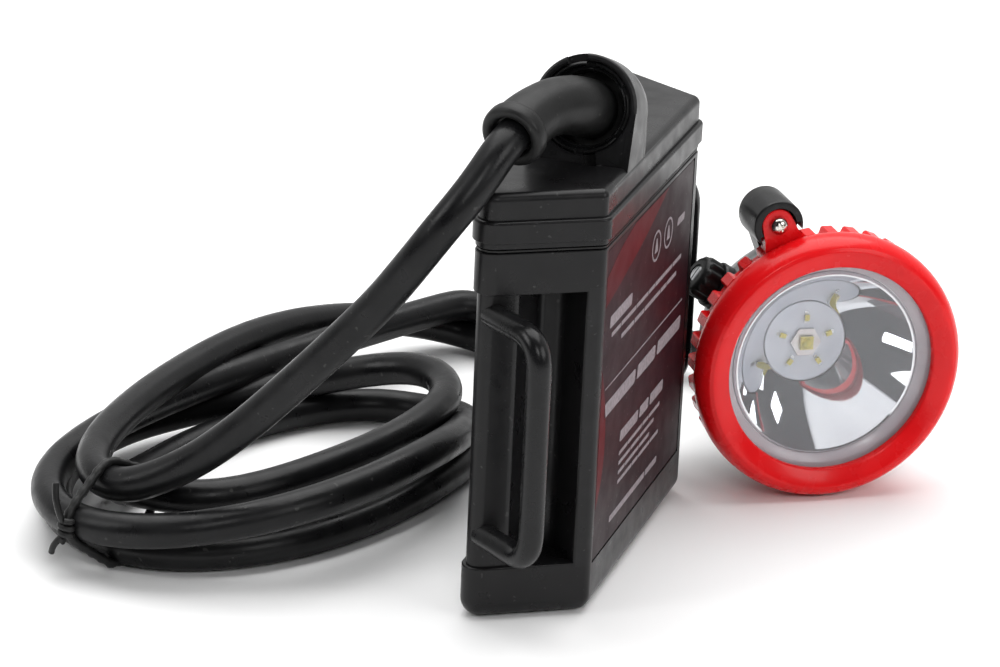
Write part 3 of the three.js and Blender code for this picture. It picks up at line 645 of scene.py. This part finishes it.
TIE_PLACE = Vector((-59.5, 107.5, 24))
TIE_NORMAL = Vector((0.42, 0.88, -0.24)).normalized()
TIE_REACH = 34
TIE_RADIUS, KNOT_RADIUS, UP_END_RADIUS, LOW_END_RADIUS = 1.15, 0.8, 0.85, 0.8
KNOT_SIDE = Vector((0.9, 0.1, 0.15))
KNOT_SHIFT = Vector((-0.4, 0.8, 1.5))
KNOT_PLACES, KNOT_PLACES_PER_TURN, KNOT_RISE = 40, 13, 0.14
UP_END = [(0, 0, 1), (-0.9, 1.2, 4), (-0.6, 2.4, 8), (0.6, 3.0, 11.5)]
LOW_END = [(0, 0, -1), (-0.8, 1.6, -2.6), (-0.7, 3.0, -4.6), (0, 3.8, -6.6)]


def strand_rims(along, upward):
    """Points round each strand that the tie's plane cuts, in the plane's two directions."""
    rims = []
    places = [p / MM for p in cord_line]
    reach = CORD_RADIUS + TIE_RADIUS * 0.8
    for a, b in zip(places, places[1:]):
        before, after = (a - TIE_PLACE).dot(TIE_NORMAL), (b - TIE_PLACE).dot(TIE_NORMAL)
        if before * after > 0 or before == after:
            continue
        cut = a.lerp(b, before / (before - after)) - TIE_PLACE
        if cut.length > TIE_REACH:
            continue
        for k in range(24):
            angle = 2 * pi * k / 24
            rims.append((cut.dot(along) + reach * cos(angle),
                         cut.dot(upward) + reach * sin(angle)))
    return sorted(rims)


def hull_half(points):
    """One side of the convex outline of sorted points, without its last point."""
    kept = []
    for p in points:
        while len(kept) > 1 and ((kept[-1][0] - kept[-2][0]) * (p[1] - kept[-2][1])
                                 <= (kept[-1][1] - kept[-2][1]) * (p[0] - kept[-2][0])):
            kept.pop()
        kept.append(p)
    return kept[:-1]


def tie_line():
    """A closed loop that lies close round the strands where a slanted plane cuts them."""
    along = TIE_NORMAL.cross(Vector((0, 0, 1))).normalized()
    upward = along.cross(TIE_NORMAL)
    if upward.z < 0:
        along, upward = -along, -upward
    rims = strand_rims(along, upward)
    hull = hull_half(rims) + hull_half(list(reversed(rims)))
    loop = [TIE_PLACE + along * u + upward * v for u, v in hull]
    loop.append(loop[0])
    even = even_line(loop, 1.0)[:-1]
    for _ in range(3):
        even = [(a + b * 2 + c) / 4 for a, b, c in zip([even[-1], *even], even, [*even[1:], even[0]])]
    for p in even:
        p.z = max(p.z, TIE_RADIUS * 1.15)
    return even


def make_tie():
    loop = tie_line()
    uneven = [TIE_RADIUS * (1 + 0.12 * sin(i * 1.9)) for i in range(len(loop))]
    band = sweep(loop, uneven, 12, closed=True)
    knot_at = min(loop, key=lambda p: p.dot(KNOT_SIDE)) + KNOT_SHIFT
    turns = []
    for k in range(KNOT_PLACES):
        angle = 2 * pi * k / KNOT_PLACES_PER_TURN
        turns.append(knot_at + Vector((-1.2 * cos(angle), 1.7 * sin(angle),
                                       (k - KNOT_PLACES / 2) * KNOT_RISE)))
    parts = [band, sweep(relax(turns, 2), KNOT_RADIUS, 10)]
    for route, radius in ((UP_END, UP_END_RADIUS), (LOW_END, LOW_END_RADIUS)):
        parts.append(sweep(catmull([knot_at + Vector(p) for p in route], 8), radius, 10))
    return new_piece("tie", *add_parts(*parts), "rubber_black", stands_for=("coil_tie",), smooth=60)


tie = make_tie()

# ------------ battery case

CASE_FRONT, CASE_BACK = -13.5, 15.5
FRONT_HALF_WIDTH, BACK_HALF_WIDTH = 42.0, 60.25
SIDE_SLOPE = (BACK_HALF_WIDTH - FRONT_HALF_WIDTH) / (CASE_BACK - CASE_FRONT)
HALF_WIDTH = FRONT_HALF_WIDTH - SIDE_SLOPE * CASE_FRONT
FRONT_CORNER, BACK_CORNER = 2.5, 4.5
WAIST_BOTTOM, WAIST_TOP = 13.5, 83.0
SHELL_TOP = 93.5
LID_BOTTOM, LID_TOP = 94.5, 108.0
BAND_BOTTOM, BAND_TOP, BAND_PROUD = 96.0, 101.5, 0.8
LABEL_LEFT, LABEL_RIGHT, LABEL_BOTTOM, LABEL_TOP = -40.0, 38.5, 12.5, 92.6
LABEL_FLOOR = CASE_FRONT + 0.9
LABEL_FACE = LABEL_FLOOR - 0.8
# Half of the middle's outline, as x, y and corner radius: front column, side pocket, back column.
WAIST_HALF = [(FRONT_HALF_WIDTH, CASE_FRONT, 2.5), (44.2, -10.05, 0.8), (36.4, -2.2, 3),
              (37.4, 3.6, 2), (52, 4.4, 2), (58.2, 14.4, 3.2), (50, 14.4, 0.4),
              (49, CASE_BACK, 0.4)]


def case_ring(inset, height):
    """The case's outline in plan, moved inwards by `inset`."""
    front, back = CASE_FRONT + inset, CASE_BACK - inset
    lean = inset * hypot(1, SIDE_SLOPE)

    def half(y):
        return HALF_WIDTH + SIDE_SLOPE * y - lean

    outline = rounded([(-half(front), front, max(FRONT_CORNER - inset, 0.6)),
                       (half(front), front, max(FRONT_CORNER - inset, 0.6)),
                       (half(back), back, max(BACK_CORNER - inset, 1.5)),
                       (-half(back), back, max(BACK_CORNER - inset, 1.5))], 10)
    return [(x, y, height) for x, y in outline]


def case_block(inset, bottom, top, bottom_edge, top_edge, steps=6):
    """A block over the case's outline with rounded lower and upper edges."""
    rings = []
    for edge, start, way in ((bottom_edge, bottom, 1), (top_edge, top, -1)):
        for a in [pi / 2 * k / steps for k in range(steps + 1)][::way]:
            rings.append(case_ring(inset + edge * (1 - sin(a)), start + way * edge * (1 - cos(a))))
    return loft(rings)


def waist_block():
    """The middle: front columns, side pockets with slanted front walls and back columns."""
    outline = rounded(WAIST_HALF + [(-x, y, r) for x, y, r in reversed(WAIST_HALF)], 8)
    return prism(outline, WAIST_BOTTOM - 1, WAIST_TOP + 1)


def make_case():
    shape = carved(
        case_block(0, 0, WAIST_BOTTOM, 4.5, 0.5, 8),
        (JOIN, waist_block()),
        (JOIN, case_block(0, WAIST_TOP, SHELL_TOP, 0.5, 0.3)),
        (CUT, block(LABEL_LEFT, LABEL_RIGHT, CASE_FRONT - 3, LABEL_FLOOR, LABEL_BOTTOM,
                             LABEL_TOP)))
    case = new_piece("case_body", *shape, "case_black", stands_for=("case_shell",), smooth=35)
    even_shading(case)


# The label's rows of bars: height, start, end, thickness and the bars' relative lengths.
LABEL_ROWS = [
    (72.7, -35, -16, 3.0, [1]), (69.0, -33, 30, 1.1, [3, 5, 4, 2, 6, 3]),
    (65.6, -24, 26, 1.1, [4, 3, 5, 2, 3]), (56.0, -36, 34, 0.35, [1]),
    (50.2, -36, 33, 3.6, [5, 3, 4]), (38.0, -20, 19, 2.9, [4, 2, 3]),
    (33.6, -20, 17, 1.0, [3, 5, 2, 4]), (31.0, -20, 12, 1.0, [4, 3, 5]),
    (28.5, -20, 8, 1.0, [2, 4, 3]), (26.0, -20, 17, 1.0, [5, 2, 4, 3]),
    (18.4, -26, 17, 1.6, [6, 2]), (79.5, 24.5, 31, 2.0, [1]),
]
SIGN_PLACES, SIGN_HEIGHT = (5.0, 16.0), 79.5
SIGN_OUTER, SIGN_INNER = 4.0, 3.4
PRINT_DEPTH, PRINT_UNDER = 0.06, 0.02


def upright(outline, *depths):
    """Joins copies of an (x, z) outline at several depths."""
    return loft([[(x, y, z) for x, z in outline] for y in depths])


def label_slab(outline):
    """A printed shape on the label."""
    return upright(outline, LABEL_FACE + PRINT_UNDER, LABEL_FACE - PRINT_DEPTH)


def label_row(z, start, end, height, words):
    """A row of plain slanted bars."""
    space, lean, corner = height * 0.55, height * 0.15, height * 0.2
    unit = (end - start - space * (len(words) - 1)) / sum(words)
    low, high = z - height / 2, z + height / 2
    x, bars = start, []
    for word in words:
        width = unit * word
        bars.append(label_slab(rounded([
            (x, low, corner), (x + width, low, corner), (x + width + lean, high, corner),
            (x + lean, high, corner)], 3)))
        x += width + space
    return bars


def label_sign(x):
    """A round outline with a plain tapered mark in it."""
    outer = ring_outline(SIGN_OUTER, 40, x, SIGN_HEIGHT)
    inner = ring_outline(SIGN_INNER, 40, x, SIGN_HEIGHT)
    low, high = SIGN_HEIGHT - 1.7, SIGN_HEIGHT + 1.9
    return [carved(label_slab(outer), (CUT, upright(inner, -15, -11))),
            label_slab(rounded([(x - 1.6, low, .3), (x + 1.6, low, .3), (x + 0.4, high, .3),
                                (x - 0.4, high, .3)], 3))]


def make_label():
    gap, edge = 0.3, 0.12
    left, right = LABEL_LEFT + gap, LABEL_RIGHT - gap
    bottom, top = LABEL_BOTTOM + gap, LABEL_TOP - gap
    plate = rounded([(left, bottom, 1), (right, bottom, 1), (right, top, 1), (left, top, 1)])
    middle_x, middle_z = (left + right) / 2, (bottom + top) / 2
    share = 1 - edge / 40
    shrunk = [(middle_x + (x - middle_x) * share, middle_z + (z - middle_z) * share)
              for x, z in plate]
    shape = loft([[(x, LABEL_FACE + 0.5, z) for x, z in plate],
                  [(x, LABEL_FACE + edge, z) for x, z in plate],
                  [(x, LABEL_FACE, z) for x, z in shrunk]])
    even_shading(new_piece("label_face", *shape, "label_film", stands_for=("label_plate",)))

    left, top = LABEL_LEFT + 0.6, LABEL_TOP - 0.6
    low = catmull([(left, 78, 0), (-22, 81.5, 0), (-4, 86, 0), (14, top, 0)], 8)
    high = catmull([(-16, top, 0), (-28, 89.5, 0), (left, 85.5, 0)], 8)
    inner = catmull([(left, 62, 0), (left + 4.4, 50, 0), (left + 5.4, 40, 0),
                     (left + 3.6, 32, 0), (left, 26, 0)], 8)
    swoosh = label_slab([(p.x, p.y) for p in low + high])
    crescent = label_slab([(p.x, p.y) for p in inner] + [(left, 40)])
    new_piece("label_red", *add_parts(swoosh, crescent), "print_red", slot="label_film")

    bars = []
    for row in LABEL_ROWS:
        bars += label_row(*row)
    for x in SIGN_PLACES:
        bars += label_sign(x)
    new_piece("label_bars", *add_parts(*bars), "print_pale", slot="label_film")


LOOP_FOOT, LOOP_BAR = Vector((53.4, 10.6)), Vector((66.6, -5.6))
LOOP_BOTTOM, LOOP_TOP, LOOP_BEND, LOOP_RADIUS = 21.5, 77.6, 8.0, 3.0


def loop_line(side):
    """The rod's centre line: out of the case, down beside the pocket and back in."""
    bend = 1 - LOOP_BEND / (LOOP_BAR - LOOP_FOOT).length

    def place(share, height):
        at = LOOP_FOOT.lerp(LOOP_BAR, share)
        return Vector((side * at.x, at.y, height))

    def corner(a, b, c, steps=14):
        shares = [k / steps for k in range(steps + 1)]
        return [a.lerp(b, t).lerp(b.lerp(c, t), t) for t in shares]

    upper = corner(place(bend, LOOP_TOP), place(1, LOOP_TOP), place(1, LOOP_TOP - LOOP_BEND))
    lower = corner(place(1, LOOP_BOTTOM + LOOP_BEND), place(1, LOOP_BOTTOM),
                   place(bend, LOOP_BOTTOM))
    return [place(0, LOOP_TOP), *upper, *lower, place(0, LOOP_BOTTOM)]


def make_loops():
    for side, name in ((1, "right"), (-1, "left")):
        line = loop_line(side)
        rod = sweep(line, LOOP_RADIUS, 28)
        piece = new_piece("loop_" + name, *rod, "loop_black",
                          stands_for=("belt_loop_" + name,))
        even_shading(piece)


# ------------ lid, cable hood and boot

HOOD_TILT = radians(20)
HOOD_MOUTH = Vector((-20, 0, 120.5))
HOOD_RADIUS, HOOD_BORE, HOOD_BORE_DEPTH = 12.9, 11.2, 11.0
HOOD_STRAIGHT, HOOD_LENGTH = 9.0, 26.0
HOOD_LIP = 0.7
HOOD_FLARE = 0.5
HOOD = frame_at(HOOD_MOUTH, (-cos(HOOD_TILT), 0, sin(HOOD_TILT)))


def hood_radius(depth):
    taper = max(depth - HOOD_STRAIGHT, 0) / (HOOD_LENGTH - HOOD_STRAIGHT)
    return HOOD_RADIUS * sqrt(max(1 - taper * taper, 0))


def hood_parts():
    """The hood's dome, and the walls that carry it down to the lid."""
    depths = [HOOD_STRAIGHT + (HOOD_LENGTH - HOOD_STRAIGHT) * sin(pi / 2 * k / 16)
              for k in range(16, -1, -1)]
    arc = [pi / 2 * k / 4 for k in range(5)]
    lip = [(HOOD_RADIUS - HOOD_LIP * (1 - cos(a)), -HOOD_LIP * (1 - sin(a))) for a in arc]
    shell = [(hood_radius(d) if d < HOOD_LENGTH - 0.01 else 0, -d) for d in depths]
    dome = moved(spin(shell + lip + [(0, 0)], 96), HOOD)
    side = [(HOOD_MOUTH.x - 8, HOOD_RADIUS)] + [
        (HOOD_MOUTH.x + d * cos(HOOD_TILT), hood_radius(d)) for d in reversed(depths)]
    outline = side + [(x, -y) for x, y in reversed(side[:-1])]
    walls = carved(prism(outline, LID_TOP - 3, HOOD_MOUTH.z + 8),
                   (OVERLAP, moved(block(-40, 40, -60, 0, -60, 0), HOOD)))
    return dome, walls


def make_lid():
    dome, walls = hood_parts()
    flared = HOOD_BORE + HOOD_FLARE
    bore = spin([(0, 1), (flared, 1), (flared, 0.01), (HOOD_BORE, -HOOD_FLARE),
                 (HOOD_BORE, -HOOD_BORE_DEPTH), (0, -HOOD_BORE_DEPTH)], 96)
    notch_at = HOOD @ Matrix.Rotation(radians(16), 4, "Z")
    drain_at = HOOD @ Matrix.Rotation(radians(14), 4, "Z")
    shape = carved(
        case_block(0.3, BAND_BOTTOM, LID_TOP, 0.2, 2.0, 8),
        (JOIN, case_block(0, LID_BOTTOM, BAND_BOTTOM + 1, 0.3, 0.2)),
        (JOIN, case_block(-BAND_PROUD, BAND_BOTTOM, BAND_TOP, 0.4, 0.8)),
        (JOIN, dome), (JOIN, walls), (CUT, moved(bore, HOOD)),
        (CUT, moved(block(-2.6, 2.6, 10.5, 15, -1.7, 2), notch_at)),
        (CUT, moved(block(-1.7, 1.7, -15, -10, -2.6, 1), drain_at)))
    even_shading(new_piece("lid_cover", *shape, "case_black", stands_for=("lid",), smooth=32))


def make_gland_ring():
    """Two ridges with six slots in the outer one."""
    slots = 6
    ridges = spin([
        (11.1, -7.4), (11.1, -1.5), (10.9, -1.1), (10.5, -0.95), (10.15, -1.2), (10.05, -1.9),
        (9.95, -2.5), (9.7, -2.75), (9.35, -2.6), (9.05, -2.8), (8.95, -3.4), (8.9, -7.4)],
        96, closed=True)
    slot = block(9.8, 12, -1.2, 1.2, -2.4, 0)
    cuts = [(CUT, moved(slot, Matrix.Rotation(2 * pi * (i + 0.5) / slots, 4, "Z")))
            for i in range(slots)]
    even_shading(new_piece("gland_ring", *moved(carved(ridges, *cuts), HOOD), "loop_black",
                           stands_for=("gland_nut",), smooth=50))


BOOT_RADIUS, BOOT_WAIST = 7.1, 0.35
BOOT_PATH = [(-14.4, 0, 118.4), (-20, 0.4, 120.5), (-25.5, 2.4, 122.2), (-32, 5.2, 122.9),
             (-40.2, 7.8, 121.9), (-48.4, 9.4, 119.6)]


def make_boot():
    line = even_line(catmull(BOOT_PATH, 12), 0.8)
    radii = []
    for i in range(len(line)):
        share = (i / (len(line) - 1) - 0.3) / 0.6
        radii.append(BOOT_RADIUS - BOOT_WAIST * sin(pi * min(max(share, 0), 1)))
    sleeve = sweep(line[:-3], radii[:-3], 48)
    collar = spin([
        (4.7, -3.4), (4.9, -1.0), (5.3, -0.3), (5.9, 0), (6.9, 0), (7.5, -0.25), (7.8, -0.85),
        (7.9, -1.6), (7.9, -3.0), (7.75, -3.7), (7.4, -4.3), (6.9, -4.7), (6.4, -4.9)],
        64, closed=True)
    end = frame_at(line[-1], line[-1] - line[-4])
    even_shading(new_piece("boot", *add_parts(sleeve, moved(collar, end)), "rubber_black",
                           stands_for=("cable_boot",), smooth=50))


make_case()
make_label()
make_loops()
make_lid()
make_gland_ring()
make_boot()

# ------------ headpiece

RING_CENTRE = (54.8, -48.3, 35.85)
RING_FRONT = (-0.8403, -0.5421, 0)
HEAD = frame_at(RING_CENTRE, RING_FRONT)
RING_BORE, LENS_OPENING, NECK_RADIUS = 30.2, 27.8, 29.8
TEETH, TOOTH_TIP, TOOTH_ROOT = 36, 35.2, 33.2
REFLECTOR_RIM, REFLECTOR_NECK, BOARD_FRONT, RIM_DEPTH = 24.0, 11.4, -18.6, -1.9
POST_ANGLE, POST_DISTANCE, POST_RADIUS, POST_REAR = radians(111.5), 40.6, 6.6, -17.5
EAR_FRONT, EAR_REAR = -4.2, -7.6
KNOB_ANGLE, KNOB_DEPTH, KNOB_RADIUS = radians(147), -20.0, 5.7
KNOB_BOTTOM, KNOB_TOP = 31.8, 37.4
GLAND_DROP, REAR_FACE = -13.5, -38.5
POST_SIDE = Matrix.Rotation(POST_ANGLE, 4, "Z")
POST = Matrix.Translation(POST_SIDE @ Vector((POST_DISTANCE, 0, 0)))
POST_TIP = EAR_FRONT + 0.8
POST_SOCKET = 4.75
KNOB = frame_at((0, 0, KNOB_DEPTH), (cos(KNOB_ANGLE), sin(KNOB_ANGLE), 0))
KNOB_FLUTES, FLUTE_DEPTH = 12, 0.7
GLAND = Matrix.Translation((0, GLAND_DROP, 0))
SMALL_LEDS, SMALL_LED_CIRCLE = 5, 6.7


def head_piece(name, part, finish, stands_for=(), body="headpiece", smooth=40, slot=None):
    piece = new_piece(name, *moved(part, HEAD), finish, body=body, stands_for=stands_for,
                      smooth=smooth, slot=slot)
    even_shading(piece)
    return piece


def bezel_face():
    outside = catmull([
        (33.2, -4.7, 0), (34.7, -4.25, 0), (35.55, -3.3, 0), (35.85, -2.0, 0), (35.82, -0.5, 0),
        (35.5, 1.2, 0), (34.8, 2.8, 0), (33.8, 3.95, 0), (33.1, 4.3, 0)], 5)
    inside = [
        (32.9, 4.42), (32.6, 4.5), (32.2, 4.48), (31.4, 4.25), (30.2, 3.75), (28.4, 2.9),
        (28.0, 2.65), (LENS_OPENING, 2.3), (LENS_OPENING, 1.1), (RING_BORE, 1.1), (RING_BORE, -4.7)]
    return spin([(p.x, p.y) for p in outside] + inside, 192, closed=True)


def bezel_teeth():
    outline = []
    for i in range(TEETH):
        for share, radius in ((-0.3, 34.9), (-0.24, TOOTH_TIP), (0.16, TOOTH_TIP), (0.22, 34.9),
                              (0.29, 33.6), (0.33, TOOTH_ROOT), (0.6, TOOTH_ROOT), (0.64, 33.6)):
            angle = 2 * pi * (i + share) / TEETH
            outline.append((radius * cos(angle), radius * sin(angle)))
    rings = [[(x * (1 - inset / 35), y * (1 - inset / 35), height) for x, y in outline]
             for inset, height in ((0.6, -10), (0.15, -9.75), (0, -9.3), (0, -4.4))]
    return carved(loft(rings), (CUT, bar(RING_BORE, -12, -3, 96)))


def bezel_ear():
    """The tab that the lock screw holds: a round end and a neck that widens towards the ring."""
    end = spin([
        (0, EAR_REAR), (4.1, EAR_REAR), (4.3, EAR_REAR + 0.3), (4.3, EAR_FRONT - 0.5),
        (4.1, EAR_FRONT - 0.15), (3.7, EAR_FRONT), (0, EAR_FRONT)], 48)
    edge = [(31.5, 6.4), (34.5, 5.6), (37.5, 4.6), (POST_DISTANCE, 4.2)]
    neck = prism([(x, -y) for x, y in edge] + edge[::-1], EAR_REAR, EAR_FRONT - 0.05)
    return carved(moved(end, POST), (JOIN, moved(neck, POST_SIDE)),
                  (CUT, moved(bar(1.75, -12, 0, 32), POST)))


def make_bezel():
    parts = add_parts(bezel_face(), bezel_teeth(), bezel_ear())
    head_piece("bezel", parts, "ring_red", ("bezel_ring",), smooth=38)


def bowl_radius(depth):
    share = (depth - BOARD_FRONT) / (RIM_DEPTH - BOARD_FRONT)
    return sqrt(REFLECTOR_NECK ** 2 + (REFLECTOR_RIM ** 2 - REFLECTOR_NECK ** 2) * share)


def make_optics():
    depths = [RIM_DEPTH + (BOARD_FRONT - RIM_DEPTH) * k / 28 for k in range(29)]
    inside = [(bowl_radius(d), d) for d in depths]
    outside = [(radius + 1, d) for radius, d in reversed(inside[4:])]
    flange = [(NECK_RADIUS, -4), (NECK_RADIUS, -2.9), (REFLECTOR_RIM + 1.2, -2.9),
              (REFLECTOR_RIM + 0.9, -2.2), (REFLECTOR_RIM + 0.5, -1.75)]
    head_piece("reflector_bowl", spin(inside + outside + flange, 160, closed=True),
               "reflector_chrome", ("reflector",), smooth=30)
    lens = spin([(0, -0.9), (29.5, -0.9), (29.8, -0.6), (29.8, 0.3), (29.5, 0.6), (27.4, 0.75),
                 (0, 0.8)], 128)
    head_piece("lens_disc", lens, "lens_clear", ("lens",))
    seal = spin([(25.3, -2.65), (29.7, -2.65), (29.7, -1.2), (27.9, -1.1), (27.3, -1.35),
                 (25.9, -2.1)], 128, closed=True)
    head_piece("lens_seal", seal, "seal_pale", ("lens_gasket",))


def make_light_board():
    board = spin([(0, BOARD_FRONT - 1.2), (10.9, BOARD_FRONT - 1.2), (11.1, BOARD_FRONT - 1.0),
                  (11.1, BOARD_FRONT - 0.15), (10.95, BOARD_FRONT), (0, BOARD_FRONT)], 96)
    head_piece("led_disc", board, "board_white", ("led_board",))
    pads = []
    for i in range(SMALL_LEDS):
        turn = Matrix.Rotation(2 * pi * i / SMALL_LEDS + pi / 2, 4, "Z")
        place = Matrix.Translation(turn @ Vector((SMALL_LED_CIRCLE, 0, 0))) @ turn
        for offset in (-1.35, 1.35):
            pads.append(moved(block(offset - 0.35, offset + 0.35, -0.5, 0.5,
                                    BOARD_FRONT - 0.05, BOARD_FRONT + 0.12), place))
    head_piece("led_pads", add_parts(*pads), "steel", slot="steel")


def make_housing():
    shell = spin([
        (0, REAR_FACE), (18.2, REAR_FACE), (19.2, -38.2), (19.9, -37.5), (22.5, -34.5),
        (24.8, -30.6), (26.6, -27), (27.9, -23.4), (28.8, -20), (29.8, -16.8), (30.6, -14),
        (31.2, -11.9), (31.4, -10.9), (31.2, -10.4), (NECK_RADIUS, -10.3), (NECK_RADIUS, -4.4),
        (27.4, -4.4), (27.4, -11), (26.2, -20), (24, -27), (20.2, -33.2), (17.5, -36.1),
        (0, -36.1)], 128)
    post = spin([
        (0, POST_REAR), (POST_RADIUS - 1.2, POST_REAR), (POST_RADIUS - 0.4, POST_REAR + 0.3),
        (POST_RADIUS, POST_REAR + 1), (POST_RADIUS, POST_TIP - 0.5),
        (POST_RADIUS - 0.15, POST_TIP - 0.15), (POST_RADIUS - 0.5, POST_TIP), (0, POST_TIP)], 64)
    post_wall = spin([
        (POST_SOCKET, -10.9), (POST_RADIUS, -10.9), (POST_RADIUS, POST_TIP - 0.6),
        (POST_RADIUS - 0.15, POST_TIP - 0.2), (POST_RADIUS - 0.5, POST_TIP), (4.9, POST_TIP),
        (POST_SOCKET, POST_TIP - 0.2)], 64, closed=True)
    web = block(27, POST_DISTANCE, -5.2, 5.2, POST_REAR, -11)
    ear_slot = block(30, POST_DISTANCE - 1, -5.6, 5.6, EAR_REAR - 0.4, 0)
    boss = spin([(0, 25.5), (6.3, 25.5), (6.3, 30.9), (5.9, 31.4), (0, 31.4)], 64)
    gland = spin([(0, -40.8), (7.0, -40.8), (7.4, -40.4), (7.4, -34), (0, -34)], 64)
    shape = carved(
        shell, (JOIN, moved(post, POST)), (JOIN, moved(web, POST_SIDE)),
        (JOIN, moved(boss, KNOB)), (JOIN, moved(gland, GLAND)),
        (CUT, bar(36.25, -10.25, 0, 128)), (JOIN, moved(post_wall, POST)),
        (CUT, moved(bar(POST_SOCKET, EAR_REAR - 0.4, 0, 64), POST)),
        (CUT, moved(ear_slot, POST_SIDE)),
        (CUT, moved(bar(3.3, POST_REAR + 1.4, EAR_REAR, 32), POST)),
        (CUT, moved(bar(3.2, 15, KNOB_BOTTOM, 32), KNOB)),
        (CUT, bar(4.6, -42, -28, 32, 0, GLAND_DROP)))
    head_piece("lamp_housing", shape, "case_black", ("housing",), smooth=34)


def make_lock_screw():
    """A domed screw with a cross in its head."""
    face = EAR_FRONT + 0.3
    screw = spin([
        (0, -14.5), (1.4, -14.5), (1.4, face), (2.3, face), (2.35, face + 0.4), (2.15, face + 1.0),
        (1.75, face + 1.55), (1.1, face + 1.95), (0.4, face + 2.1), (0, face + 2.1)], 48)
    cross = POST @ Matrix.Rotation(0.6, 4, "Z")
    cuts = [(CUT, moved(block(-x, x, -y, y, face + 1.3, 0), cross))
            for x, y in ((1.1, 0.28), (0.28, 1.1))]
    head_piece("lock_dome", carved(moved(screw, POST), *cuts), "screw_chrome", ("lock_screw",))


def make_knob():
    """A fluted grip with a low dome, a pointer and its screw."""
    angles = [2 * pi * i / (KNOB_FLUTES * 6) for i in range(KNOB_FLUTES * 6)]
    grip = [KNOB_RADIUS - FLUTE_DEPTH / 2 * (1 - cos(KNOB_FLUTES * a)) for a in angles]
    sections = [(KNOB_BOTTOM, [r * 0.97 for r in grip]), (KNOB_BOTTOM + 0.4, grip),
                (KNOB_TOP - 2.2, grip), (KNOB_TOP - 1.6, [r * 0.975 for r in grip])]
    sections += [(KNOB_TOP - drop, [radius] * len(angles))
                 for drop, radius in ((1.2, 5.0), (0.75, 4.6), (0.45, 4.0), (0.3, 3.2))]
    body = loft([[(r * cos(a), r * sin(a), height) for a, r in zip(angles, radii)]
                 for height, radii in sections])
    knob = carved(
        body, (JOIN, block(2.8, 5.0, -0.8, 0.8, KNOB_TOP - 2, KNOB_TOP)),
        (CUT, bar(2.5, KNOB_TOP - 1.15, KNOB_TOP + 1, 32)),
        (CUT, bar(1.1, KNOB_BOTTOM + 4, KNOB_TOP, 32)),
        (CUT, bar(2.1, KNOB_BOTTOM - 1, KNOB_BOTTOM + 4.2, 32)))
    head_piece("knob", moved(knob, KNOB), "rubber_black", ("switch_knob",), body="switch_knob",
               smooth=45)
    screw = carved(
        spin([(0, KNOB_BOTTOM + 1), (0.7, KNOB_BOTTOM + 1), (0.7, KNOB_TOP - 1.1),
              (2.2, KNOB_TOP - 1.1), (2.2, KNOB_TOP - 0.6), (1.9, KNOB_TOP - 0.35),
              (0, KNOB_TOP - 0.3)], 48),
        (CUT, block(-2.5, 2.5, -0.3, 0.3, KNOB_TOP - 0.65, KNOB_TOP)))
    head_piece("knob_bolt", moved(screw, KNOB), "steel", ("knob_screw",), body="switch_knob")


def make_cord_entry():
    """The ribbed boot that leans down with the cord, and the six-sided nut that holds it."""
    profile = [(0, 0), (6.0, 0), (6.2, 0.3)]
    for i in range(4):
        start = 1.2 + i * 2.6
        radius = 6.2 - 0.085 * start
        profile += [(radius, start), (radius, start + 1.3), (radius - 0.55, start + 1.6),
                    (radius - 0.6, start + 2.2)]
    profile += [(5.15, 11.6), (4.9, 12), (0, 12)]
    down = frame_at((0, GLAND_DROP, -46.3), (0, -0.19, -1), (0, 1, -0.19))
    head_piece("tail_boot", moved(spin(profile, 48), down), "rubber_black", ("headpiece_boot",))
    nut = carved(prism(ring_outline(8.2, 6, 0, GLAND_DROP), -46, -41.1),
                 (CUT, bar(5.4, -48, -40, 48, 0, GLAND_DROP)))
    piece = head_piece("gland_hex", nut, "case_black", ("headpiece_gland_nut",))
    piece.modifiers.clear()
    soften(piece, 0.4)


make_bezel()
make_optics()
make_light_board()
make_housing()
make_lock_screw()
make_knob()
make_cord_entry()

# ------------ carried-over CAD nodes

SOFT_NODES = ("rear_hook", "hook_screw_1", "hook_screw_2", "lid_screw_left", "lid_screw_right",
              "main_led", "led_star")
SOFT_EDGE = 0.25

for part in frame["record"]["subparts"]:
    dress(frame["nodes"][part["node"]], part["material_slot"])
for name in SOFT_NODES:
    soften_cad(name, SOFT_EDGE)
